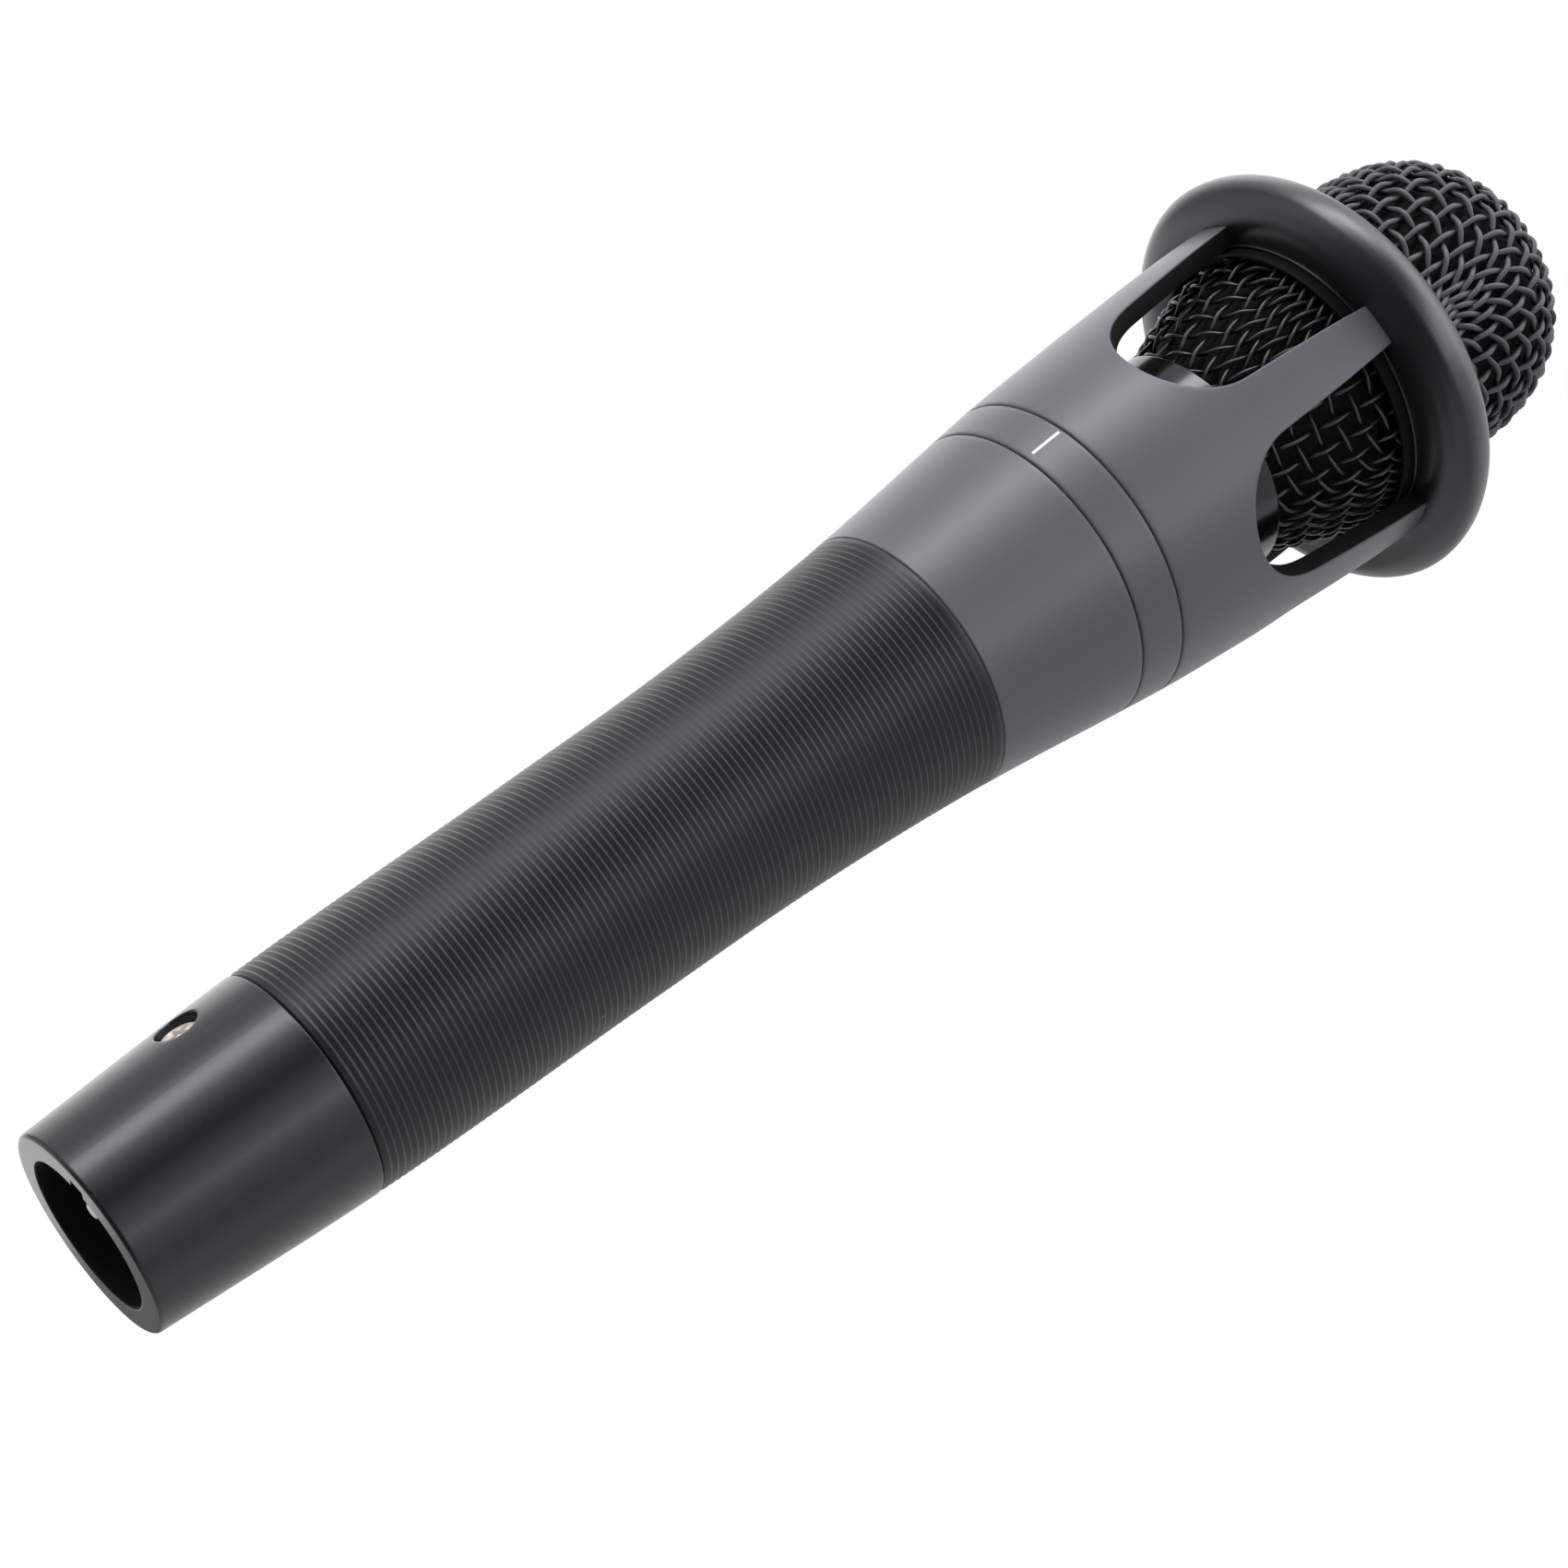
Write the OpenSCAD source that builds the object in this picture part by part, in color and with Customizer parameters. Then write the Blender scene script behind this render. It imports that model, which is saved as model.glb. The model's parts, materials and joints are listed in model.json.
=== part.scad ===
// Hand-held vocal microphone with a moving-coil capsule in a windowed cage
// Upright: the axis is Z, the tail face lies at Z 0, and one strut of the cage faces -Y

/* [Connector housing] */
// Length of the housing below the grip
tail_len = 25.1; // [22:0.1:40]
// Radius at the tail face
tail_end_r = 11.3; // [10.8:0.05:14]
// Radius where the housing meets the grip
tail_top_r = 12.75; // [12.4:0.05:15]
// Rounding of the tail edge
tail_round = 0.8; // [0.2:0.1:1.4]
// Rounding of the edge beside the grip
tail_top_round = 0.5; // [0.1:0.1:1]
// Radius of the cable socket
socket_r = 8.15; // [7.9:0.05:8.6]
// Depth of the socket down to its insert
socket_depth = 14; // [11:0.5:15]
// Length of the neck that enters the handle
housing_neck_len = 8; // [4:0.5:14]
// Radius of the wire passage through the neck
wire_bore_r = 6.8; // [5.8:0.1:7.5]
// Direction of the keyway, in degrees from the front
key_az = -26; // [-60:1:60]
// Width of the keyway
key_w = 1.9; // [1.2:0.1:3]
// Depth of the keyway outside the socket
key_depth = 1; // [0.4:0.1:1.4]
// Length of the keyway
key_len = 9; // [4:0.5:12]
// Direction of the lug beside the keyway
lug_az = -11; // [-14:1:20]
// Radius of the lug
lug_r = 0.9; // [0.5:0.1:1.2]
// How far the lug stands into the socket
lug_in = 1.2; // [0.4:0.1:1.6]
// Length of the lug
lug_len = 5; // [2:0.5:8]

/* [Connector insert] */
// Thickness of the insulating insert
insert_h = 8.6; // [7:0.1:10]
// Radius of the contact pins
pin_r = 1.2; // [1:0.05:1.3]
// Radius of the circle that the pins stand on
pin_circle_r = 3.81; // [3.5:0.01:4.2]
// How far the pin tips lie inside the tail face
pin_recess = 3.4; // [1:0.1:4]
// Height of the solder cups behind the insert
cup_h = 3.5; // [2:0.1:5]
// Wall of a solder cup
cup_wall = 0.4; // [0.2:0.05:0.5]
// How much thicker the pins are inside the insert
pin_shoulder = 0.2; // [0.1:0.05:0.4]

/* [Connector screw] */
// Height of the screw above the socket's floor
screw_up = 3.2; // [2.5:0.1:5]
// Direction of the screw, in degrees from the front
screw_az = -68; // [-90:1:-55]
// Radius of the screw head
screw_head_r = 2.1; // [1.7:0.05:2.4]
// Height of the screw head
screw_head_h = 1.5; // [1:0.1:1.8]
// Radius of the screw shank
screw_shank_r = 1.25; // [0.9:0.05:1.4]
// Wall that the screw head seats on
screw_seat_wall = 1.4; // [1:0.1:1.6]
// How far the screw enters the insert
screw_bite = 2; // [1:0.1:2.6]
// Clearance round the screw head and shank
screw_gap = 0.25; // [0.1:0.05:0.4]

/* [Handle] */
// Length of the grip
grip_len = 79.9; // [60:0.1:110]
// Radius of the grip at its waist
waist_r = 13.26; // [13:0.01:14]
// Radius of the grip where it starts to swell
swell_r = 13.68; // [13.3:0.01:14.5]
// Radius at the top of the grip
grip_end_r = 15.45; // [14.6:0.05:17]
// Length of the bare handle above the grip
neck_len = 18.07; // [12:0.01:30]
// Bore of the handle
handle_bore_r = 10; // [9.2:0.1:10.4]
// How far the threaded spigot for the head lies inside the band's top edge
spigot_in = 2.26; // [2.1:0.02:2.8]
// Wall of the spigot round the capsule plate
spigot_wall = 2.7; // [1.5:0.1:3]
// Width of the ledge that the capsule plate rests on
plate_ledge = 1.2; // [0.6:0.1:2]
// How far the seat under the band stands out from the spigot
band_seat_step = 0.7; // [0.4:0.05:1]
// Height of the spigot above the band
spigot_h = 6; // [4:0.1:6.8]

/* [Grip sleeve] */
// Thickness of the rubber sleeve at its ribs
sleeve_t = 1.3; // [1:0.05:1.5]
// Pitch of the ribs
rib_pitch = 0.8; // [0.7:0.05:2]
// Depth of the ribs
rib_depth = 0.35; // [0.1:0.05:0.5]
// Width of a rib's crest
rib_crest = 0.3; // [0.1:0.05:0.5]
// Smooth band at the top of the sleeve
sleeve_plain = 1; // [0.3:0.1:3]
// Height and depth of the step at the sleeve's lower end
sleeve_step = 0.45; // [0.4:0.05:0.7]

/* [Band] */
// Height of the band
band_h = 5.34; // [4:0.01:9]
// Radius at the top of the band
band_top_r = 18.36; // [17:0.01:20]
// How much narrower the handle is below the band
band_taper = 0.66; // [0.2:0.02:1]
// Width of the seams above and below the band
seam = 0.22; // [0.1:0.02:0.4]
// Chamfer along the seams
seam_chamfer = 0.15; // [0.05:0.05:0.3]

/* [Cage] */
// Number of windows
windows = 5; // [5:1:7]
// Width of a strut beside the middle of a window's round end
strut_foot_w = 7; // [6.5:0.1:9]
// Width of a strut at the bumper ring
strut_top_w = 5; // [4:0.1:6]
// Height of the round end's middle above the band
window_lift = 20.49; // [19.5:0.01:24]
// How far the cage flares from the band to the window sill
sill_flare = 1.02; // [0.6:0.01:1.6]
// Height of the sill above the band
sill_lift = 11.6; // [10:0.1:13]
// How far the struts flare from the sill to the bumper ring
strut_flare = 1.55; // [1:0.01:2.4]
// Thickness of the cage wall
cage_t = 2.3; // [1.8:0.05:2.5]
// How far the struts enter the bumper ring
tenon = 2; // [1:0.1:3]
// Room between the spigot and the cage floor
floor_room = 1.1; // [1:0.1:1.6]
// Thickness of the cage floor
floor_t = 2; // [1:0.1:2.5]
// Fillet under the cage floor
floor_fillet = 0.6; // [0.2:0.1:0.8]
// Room round the capsule in the hole of the cage floor
capsule_pass = 1; // [0.6:0.1:1.4]

/* [Thread ring] */
// Thickness of the thread ring in the cage's skirt
thread_ring_t = 0.7; // [0.5:0.05:0.8]
// Radial clearance of the thread
thread_gap = 0.12; // [0.05:0.01:0.2]
// Clearance between the thread ring and the skirt
skirt_gap = 0.05; // [0.02:0.01:0.1]

/* [Bumper ring] */
// Height of the ring's widest line above the band
ring_lift = 39.35; // [37:0.01:44]
// How far the section's centre lies inside the struts' outer face
ring_inset = 0.03; // [0:0.01:0.3]
// Width of the section outside its centre
ring_out = 4.46; // [3:0.01:6]
// Depth of the section below its widest line
ring_low = 2.71; // [2:0.01:4]
// Height of the section above its widest line
ring_high = 4.57; // [3:0.01:6]
// Wall of the ring inside the struts
ring_wall = 0.43; // [0.3:0.01:0.7]
// How far the lower edge rises towards the inner wall
ring_lip = 0.3; // [0.1:0.05:0.8]
// Rounding of the ring's upper inner edge
ring_crown = 1.2; // [0.5:0.1:2]

/* [Grille] */
// Pitch of the weave
weave_pitch = 2.8; // [2.5:0.05:5]
// Diameter of the wires
wire_d = 0.8; // [0.4:0.05:0.9]
// Gap between crossing wires
weave_gap = 0.1; // [0.06:0.02:0.2]
// How far the dome lies inside the ring's inner wall
dome_in = 0.67; // [0.6:0.01:1.2]
// Height of the dome's straight part above the ring's widest line
dome_skirt = 14.11; // [8:0.01:20]
// Height of the dome's round part
dome_h = 17.48; // [14:0.01:20]
// Squareness of the dome, 2 for an ellipse
dome_power = 2.53; // [2:0.01:3]
// Share of the dome's length that its flat sheet had before drawing
dome_draw = 0.89; // [0.8:0.01:1.05]
// Direction of the dome's wires, in degrees from the front
dome_turn = -33; // [-45:1:45]
// Gap between the bowl's foot and the collar's wall
bowl_foot_gap = 1.35; // [0.8:0.05:1.6]
// How far the bowl lies inside the ring's inner wall
bowl_in = 0.6; // [0.5:0.05:1]
// Height of the bowl's foot above the floor of the collar's cup
bowl_foot_lift = 1.4; // [1:0.1:2]
// Bend of the bowl's side from its foot to its edge, in degrees
bowl_bend = 84; // [50:1:90]
// Share of the bowl's length that its flat sheet had before drawing
bowl_draw = 0.9; // [0.7:0.01:1.05]
// Direction of the bowl's wires, in degrees from the front
bowl_turn = 22; // [-45:1:45]
// Room round the wire ends in their grooves
wire_end_gap = 0.2; // [0.15:0.05:0.4]
// Width of the clamp flange
flange_w = 3.6; // [3.4:0.05:4]
// How far the clamp flange hangs below the ring's widest line
flange_drop = 4; // [3:0.1:4.5]
// How far the clamp flange rises above the ring's widest line
flange_rise = 2.7; // [2:0.1:3.5]
// Depth of each groove in the clamp flange
groove_depth = 2; // [1:0.1:2.4]

/* [Base collar] */
// Width of the collar from the floor's hole to its rim
collar_w = 3; // [2.6:0.05:3.6]
// How far the collar leans in towards the cage floor
collar_lean = 0.7; // [0:0.05:1]
// Height of the collar's rim above the band
collar_lift = 20.4; // [19.5:0.1:22]
// Depth of the cup that takes the bowl's foot
collar_cup_depth = 2.6; // [1.5:0.1:4]
// Wall of that cup
collar_wall = 0.55; // [0.4:0.05:0.7]

/* [Foam] */
// Gap between the foam and the wires
foam_gap = 0.45; // [0.3:0.05:0.6]
// Thickness of the foam in the dome
foam_t = 2.5; // [1.5:0.1:3]
// Room between the capsule and the foam in the bowl
foam_room = 0.5; // [0.4:0.05:1]
// Thickness of the foam at its lower edge
foam_edge = 0.3; // [0.2:0.05:0.8]
// Gap between the foam and the clamp flange
foam_flange_gap = 0.4; // [0.2:0.1:1]

/* [Capsule mount] */
// Thickness of the capsule plate
plate_t = 2.5; // [1.5:0.1:3]
// Radius of the hollow stem
stem_r = 4.6; // [3.5:0.1:5.5]
// Bore of the stem
stem_bore_r = 3; // [2:0.1:3.2]
// Height of the stem's top above the band
stem_lift = 28; // [25:0.1:30]
// Radius of the stem's flange
stem_flange_r = 7; // [6:0.1:9]
// Thickness of the stem's flange
stem_flange_t = 1.5; // [1:0.1:2.5]
// Fillet at the stem's foot
stem_fillet = 1; // [0.4:0.1:2]
// Height of the rubber shock mount
shock_h = 5.5; // [4:0.1:8]
// Radius of the shock mount at its ends
shock_r = 7; // [6:0.1:9]
// How far the shock mount is drawn in at its middle
shock_waist = 1.2; // [0.4:0.1:2]
// Bore of the shock mount
shock_bore_r = 3.4; // [3:0.1:4.2]

/* [Capsule] */
// Room between the capsule and the foam in the dome
capsule_room = 3.38; // [3:0.02:4]
// Wall of the capsule shell
shell_t = 0.8; // [0.6:0.05:1.2]
// Thickness of the shell's floor
shell_floor_t = 1.4; // [1:0.1:2]
// Thickness of the terminal board
board_t = 1.2; // [0.8:0.1:1.6]
// Depth of the rear chamber
rear_chamber = 3; // [2:0.1:4]
// Room round the magnet pot's wall in the shell
pot_gap = 0.8; // [0.4:0.05:1]
// Width of the ledge that the magnet pot seats on
pot_ledge = 1; // [0.6:0.1:1.6]
// Wall of the magnet pot
pot_wall = 2; // [1.5:0.1:2.2]
// Thickness of the pot's floor
pot_floor = 2.4; // [1.5:0.1:3]
// How much narrower the magnet is than the pole piece
magnet_in = 0.4; // [0.1:0.05:0.8]
// Height of the magnet
magnet_h = 4.4; // [3:0.1:5]
// Width of the front plate's lip inside the magnet pot
plate_lip = 1.15; // [1:0.05:1.4]
// Height of the pole piece and of the front plate
pole_h = 2.2; // [1.5:0.1:3]
// Clearance on each side of the voice coil
coil_gap = 0.25; // [0.15:0.05:0.3]
// Thickness of the voice coil
coil_t = 0.35; // [0.2:0.05:0.4]
// Height of the voice coil
coil_h = 3.6; // [2.5:0.1:4]
// Depth of the coil's foot below the front plate's face
coil_dip = 2.4; // [1.5:0.1:3]
// Thickness of the diaphragm film
film_t = 0.15; // [0.1:0.05:0.25]
// Height of the diaphragm's dome
film_dome_h = 1.6; // [1:0.1:2.2]
// Height of the roll round the dome
film_roll_h = 0.7; // [0.4:0.1:1]
// Width of the two clamp rings
clamp_w = 1.3; // [1:0.1:1.5]
// Thickness of the damping felt
felt_t = 0.6; // [0.3:0.1:0.7]
// Room between the diaphragm's dome and the front cap
cap_room = 1.6; // [1:0.1:4]
// Thickness of the front cap
cap_t = 1.2; // [0.8:0.1:2]
// Radius of the front cap's holes
cap_hole_r = 1.15; // [0.8:0.05:1.3]

/* [Transformer] */
// Width of the core
core_w = 13; // [11:0.5:14]
// Depth of the core
core_d = 8; // [6:0.5:9]
// Height of the core
core_h = 12; // [9:0.5:16]
// Width of the core's limbs
core_limb = 2.2; // [1.5:0.1:2.6]
// Thickness of the winding round the middle limb
winding_t = 1.7; // [1:0.1:2]
// Distance of the transformer's foot below the top of the grip
core_drop = 24; // [20:0.5:40]
// Wall of the cradle that carries the transformer
cradle_wall = 2.5; // [1.5:0.1:4]
// Radius of the leads
lead_r = 0.5; // [0.3:0.05:0.55]
// Spacing of the two capsule leads
lead_spacing = 2.6; // [1.6:0.1:3.4]

/* [Fits] */
// Gap between pieces that seat in each other
fit_gap = 0.02; // [0.01:0.01:0.05]

/* [Hidden] */
$fn = 96;

// Heights along the axis
z_tail = tail_len;
z_grip = z_tail + grip_len;
z_neck = z_grip + neck_len;
z_band = z_neck + band_h;
z_spigot = z_band + spigot_h;
z_insert = socket_depth + insert_h;
z_housing = z_tail + housing_neck_len;
z_floor = z_spigot + floor_room + floor_t;
z_ring = z_band + ring_lift;
z_ring_low = z_ring - ring_low;
z_window = z_band + window_lift;
z_collar = z_band + collar_lift;
z_bowl = z_collar - collar_cup_depth + bowl_foot_lift;
z_stem = z_band + stem_lift;
z_capsule = z_stem + shock_h;
z_core = z_grip - core_drop;
z_flange = z_ring - flange_drop;
flange_h = flange_drop + flange_rise;

// Radii of the handle and the cage, which follow the band
neck_end_r = band_top_r - band_taper;
spigot_r = band_top_r - spigot_in;
band_seat_r = spigot_r + band_seat_step;
well_r = spigot_r - spigot_wall;
cavity_r = well_r - plate_ledge;
sill_r = band_top_r + sill_flare;
strut_top_r = sill_r + strut_flare;

// Radii of the head, which follow the struts
ring_centre_r = strut_top_r - ring_inset;
ring_bore_r = strut_top_r - cage_t - ring_wall;
flange_bore_r = ring_bore_r - flange_w;
dome_r = ring_bore_r - dome_in;
bowl_top_r = ring_bore_r - bowl_in;

// Half the thickness of the weave
wire_r = wire_d / 2;
weave_h = wire_r + weave_gap / 2;
weave_half = weave_h + wire_r;

// Radii inside the head, which follow the capsule
capsule_r = dome_r - 2 * weave_half - foam_gap - foam_t - capsule_room;
floor_hole_r = capsule_r + capsule_pass;
foam_bore_r = capsule_r + foam_room;
collar_rim_r = floor_hole_r + collar_w;
collar_foot_r = collar_rim_r - collar_lean;
bowl_foot_r = collar_rim_r - collar_wall - bowl_foot_gap;

// Outline of the handle and the cage as a smooth curve through named stations
waist_share = 0.437;
swell_share = 0.687;
stations = [
  [0, tail_end_r],
  [z_tail, tail_top_r],
  [z_tail + waist_share * grip_len, waist_r],
  [z_tail + swell_share * grip_len, swell_r],
  [z_grip, grip_end_r],
  [z_neck, neck_end_r],
  [z_band, band_top_r],
  [z_band + sill_lift, sill_r],
  [z_ring_low, strut_top_r],
  [z_ring, strut_top_r]
];
last_station = len(stations) - 1;

function span(i) = stations[i + 1][0] - stations[i][0];
function rise(i) = (stations[i + 1][1] - stations[i][1]) / span(i);
function slope(i) =
  i == 0 ? rise(0)
  : i == last_station ? rise(i - 1)
  : (span(i) * rise(i - 1) + span(i - 1) * rise(i)) / (span(i - 1) + span(i));
function station_below(z, i = 0) =
  i == last_station - 1 || z < stations[i + 1][0] ? i : station_below(z, i + 1);
function hermite(t, h, a, ma, b, mb) =
  (2 * t ^ 3 - 3 * t ^ 2 + 1) * a + (t ^ 3 - 2 * t ^ 2 + t) * h * ma
  + (3 * t ^ 2 - 2 * t ^ 3) * b + (t ^ 3 - t ^ 2) * h * mb;
function outer_r(z) =
  let (i = station_below(z), t = (z - stations[i][0]) / span(i))
  hermite(t, span(i), stations[i][1], slope(i), stations[i + 1][1], slope(i + 1));

// Points of the outline between two heights, moved inwards
outline_step = 4;
function heights(a, b, step = outline_step) =
  let (n = max(1, ceil(abs(b - a) / step)))
  [for (k = [0:n]) a + (b - a) * k / n];
function outline(a, b, inwards = 0) = [for (z = heights(a, b)) [outer_r(z) - inwards, z]];
function arc(centre, rx, ry, from, to, n = 12) =
  [for (k = [0:n]) let (a = from + (to - from) * k / n) centre + [rx * cos(a), ry * sin(a)]];

// Turns a piece from the front, which is -Y, by an azimuth
module facing(az) {
  rotate([0, 0, az - 90])
    children();
}

// A radial cylinder between two radii at a height
module radial_pin(r, inner, outer, z) {
  translate([inner, 0, z])
    rotate([0, 90, 0])
      cylinder(r = r, h = outer - inner);
}

module tube(r, bore, z, h) {
  translate([0, 0, z])
    difference() {
      cylinder(r = r, h = h);
      translate([0, 0, -h])
        cylinder(r = bore, h = 3 * h);
    }
}

// Connector

screw_seat = socket_r + screw_seat_wall;
screw_z = socket_depth + screw_up;
pin_azimuths = [key_az - 90, key_az + 90, key_az + 180];
mouth_chamfer = 0.25;
shank_r = pin_r + pin_shoulder;
cup_bore_r = pin_r - cup_wall;
z_cup = z_insert + cup_h;

module connector_housing() {
  edge = [outer_r(tail_round) - tail_round, tail_round];
  top = [outer_r(z_tail) - tail_top_round, z_tail - tail_top_round];
  color("#2b2b2d") {
    difference() {
      rotate_extrude()
        polygon(concat(
          [[socket_r, mouth_chamfer], [socket_r + mouth_chamfer, 0]],
          arc(edge, tail_round, tail_round, -90, 0, 6),
          outline(tail_round + outline_step, z_tail - tail_top_round - outline_step / 2),
          arc(top, tail_top_round, tail_top_round, 0, 90, 6),
          [[handle_bore_r - fit_gap, z_tail], [handle_bore_r - fit_gap, z_housing]],
          [[wire_bore_r, z_housing], [wire_bore_r, z_insert], [socket_r, z_insert]]
        ));
      facing(key_az)
        translate([0, -key_w / 2, -key_len])
          cube([socket_r + key_depth, key_w, 2 * key_len]);
      facing(screw_az) {
        radial_pin(screw_head_r + screw_gap, screw_seat, 2 * tail_top_r, screw_z);
        radial_pin(screw_shank_r + screw_gap, 0, screw_seat + 1, screw_z);
      }
    }
    facing(lug_az)
      translate([socket_r + lug_r - lug_in, 0, mouth_chamfer])
        cylinder(r = lug_r, h = lug_len);
  }
}

module connector_insert() {
  color("#1d1d1f")
    difference() {
      translate([0, 0, socket_depth])
        cylinder(r = socket_r - fit_gap, h = insert_h);
      for (az = pin_azimuths)
        facing(az)
          translate([pin_circle_r, 0, 0])
            cylinder(r = shank_r + fit_gap, h = 2 * z_insert);
      facing(screw_az)
        radial_pin(screw_shank_r + fit_gap, socket_r - screw_bite, socket_r + 1, screw_z);
    }
}

module contact_pin(index) {
  color("silver")
    facing(pin_azimuths[index])
      translate([pin_circle_r, 0, 0])
        rotate_extrude()
          polygon(concat(
            [[0, pin_recess]],
            arc([0, pin_recess + pin_r], pin_r, pin_r, -75, 0, 6),
            [[pin_r, socket_depth], [shank_r, socket_depth], [shank_r, z_insert]],
            [[pin_r, z_insert], [pin_r, z_cup], [cup_bore_r, z_cup]],
            [[cup_bore_r, z_insert + cup_wall], [0, z_insert + cup_wall]]
          ));
}

module contact_pin_1() {
  contact_pin(0);
}

module contact_pin_2() {
  contact_pin(1);
}

module contact_pin_3() {
  contact_pin(2);
}

// Cross slot of the screw, as shares of its head
slot_width_share = 0.33;
slot_length_share = 1.3;
slot_depth_share = 0.5;

module connector_screw() {
  slot_w = slot_width_share * screw_head_r;
  slot_len = slot_length_share * screw_head_r;
  slot_depth = slot_depth_share * screw_head_h;
  head_top = screw_seat + screw_head_h;
  color("#c9c4c1")
    facing(screw_az)
      difference() {
        union() {
          radial_pin(screw_head_r, screw_seat, head_top, screw_z);
          radial_pin(screw_shank_r, socket_r - screw_bite, screw_seat, screw_z);
        }
        for (turn = [0, 90])
          translate([head_top, 0, screw_z])
            rotate([turn + 45, 0, 0])
              cube([2 * slot_depth, slot_w, slot_len], center = true);
      }
}

// Handle

module handle_body() {
  lead_in = well_r - handle_bore_r;
  z_cavity = z_grip + lead_in + outline_step;
  color("#6b6b6e")
    rotate_extrude()
      polygon(concat(
        outline(z_tail, z_grip, sleeve_t + fit_gap),
        outline(z_grip, z_neck - seam_chamfer),
        [[outer_r(z_neck) - seam_chamfer, z_neck], [band_seat_r, z_neck], [band_seat_r, z_band]],
        [[spigot_r, z_band], [spigot_r, z_spigot], [well_r, z_spigot], [well_r, z_band]],
        [[cavity_r, z_band], [cavity_r, z_cavity], [handle_bore_r, z_cavity - lead_in]],
        [[handle_bore_r, z_tail]]
      ));
}

module grip_sleeve() {
  low = z_tail + fit_gap;
  high = z_grip - fit_gap;
  first = low + sleeve_step;
  ribs = floor((high - sleeve_plain - first) / rib_pitch);
  last = first + ribs * rib_pitch;
  flank = (rib_pitch - rib_crest) / 2;
  color("#1f1f20")
    rotate_extrude()
      polygon(concat(
        outline(high, low, sleeve_t),
        [[outer_r(low) - sleeve_step, low]],
        [
          for (k = [0:ribs - 1])
            for (p = [[0, 0], [flank, rib_depth], [flank + rib_crest, rib_depth]])
              let (z = first + k * rib_pitch + p[0])
              [outer_r(z) - rib_depth + p[1], z]
        ],
        [[outer_r(last) - rib_depth, last], [outer_r(last + flank), last + flank]],
        [[outer_r(high), high]]
      ));
}

module band_ring() {
  low = z_neck + seam;
  high = z_band;
  color("#6b6b6e")
    rotate_extrude()
      polygon(concat(
        [[band_seat_r + fit_gap, low], [outer_r(low) - seam_chamfer, low]],
        outline(low + seam_chamfer, high - seam_chamfer),
        [[outer_r(high) - seam_chamfer, high], [band_seat_r + fit_gap, high]]
      ));
}

// Leads and transformer

lead_foot = z_insert + cup_wall;
ground_turn = (z_cup + z_housing) / 2;
pin_lead_r = min(lead_r, cup_bore_r - fit_gap);
output_azimuths = [pin_azimuths[1], pin_azimuths[2]];

// The lead of the first pin turns out to the housing's neck
module ground_lead() {
  color("#2f7d3a")
    facing(pin_azimuths[0])
      union() {
        translate([pin_circle_r, 0, lead_foot])
          cylinder(r = pin_lead_r, h = ground_turn - lead_foot);
        translate([pin_circle_r, 0, ground_turn])
          sphere(r = pin_lead_r);
        radial_pin(pin_lead_r, pin_circle_r, wire_bore_r - fit_gap, ground_turn);
      }
}

module output_leads() {
  color("#b33a2e")
    for (az = output_azimuths)
      facing(az)
        translate([pin_circle_r, 0, lead_foot])
          cylinder(r = pin_lead_r, h = z_core - fit_gap - lead_foot);
}

module core_block(grow = 0) {
  translate([-core_w / 2 - grow, -core_d / 2 - grow, z_core - grow])
    cube([core_w + 2 * grow, core_d + 2 * grow, core_h + 2 * grow]);
}

// Half widths of the core's two windows, between the limbs
core_window = (core_w - 4 * core_limb) / 2;

module core_windows(gap) {
  for (side = [-1, 1])
    translate([side * (core_limb + core_window / 2), 0, z_core + core_h / 2])
      cube([core_window - 2 * gap, 3 * core_d, core_h - 2 * core_limb - 2 * gap], center = true);
}

module transformer_core() {
  color("#5c5f63")
    difference() {
      core_block();
      core_windows(0);
    }
}

module transformer_winding() {
  wide = 2 * (core_limb + core_window) - 2 * fit_gap;
  deep = core_d + 2 * winding_t;
  high = core_h - 2 * core_limb - 2 * fit_gap;
  color("#b5651d")
    difference() {
      translate([0, 0, z_core + core_h / 2])
        cube([wide, deep, high], center = true);
      translate([0, 0, z_core + core_h / 2])
        cube([2 * (core_limb + fit_gap), core_d + 2 * fit_gap, 2 * high], center = true);
    }
}

// A round cradle whose pocket holds the transformer upright in the bore
module transformer_cradle() {
  side_room = core_d / 2 + winding_t + 2 * fit_gap;
  color("#d8d2c2")
    difference() {
      translate([0, 0, z_core - cradle_wall])
        cylinder(r = handle_bore_r - fit_gap, h = cradle_wall + core_h);
      core_block(fit_gap);
      for (az = output_azimuths)
        facing(az)
          translate([pin_circle_r, 0, 0])
            cylinder(r = pin_lead_r + fit_gap, h = z_core);
      translate([-core_w / 2, -side_room, z_core + core_limb / 2])
        cube([core_w, 2 * side_room, core_h]);
    }
}

module capsule_leads() {
  low = z_core + core_h + fit_gap;
  color("#c8b43a")
    for (side = [-1, 1])
      translate([side * lead_spacing / 2, 0, low])
        cylinder(r = lead_r, h = z_capsule + shell_floor_t - fit_gap - low);
}

// Capsule mount

module capsule_plate() {
  color("#8a8d91")
    rotate_extrude()
      polygon([
        [stem_bore_r, z_band],
        [well_r - fit_gap, z_band],
        [well_r - fit_gap, z_band + plate_t],
        [stem_r + stem_fillet, z_band + plate_t],
        [stem_r, z_band + plate_t + stem_fillet],
        [stem_r, z_stem - stem_flange_t],
        [stem_flange_r, z_stem - stem_flange_t],
        [stem_flange_r, z_stem],
        [stem_bore_r, z_stem]
      ]);
}

// Share of the shock mount's height that its waist takes
waist_height_share = 0.8;

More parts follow.
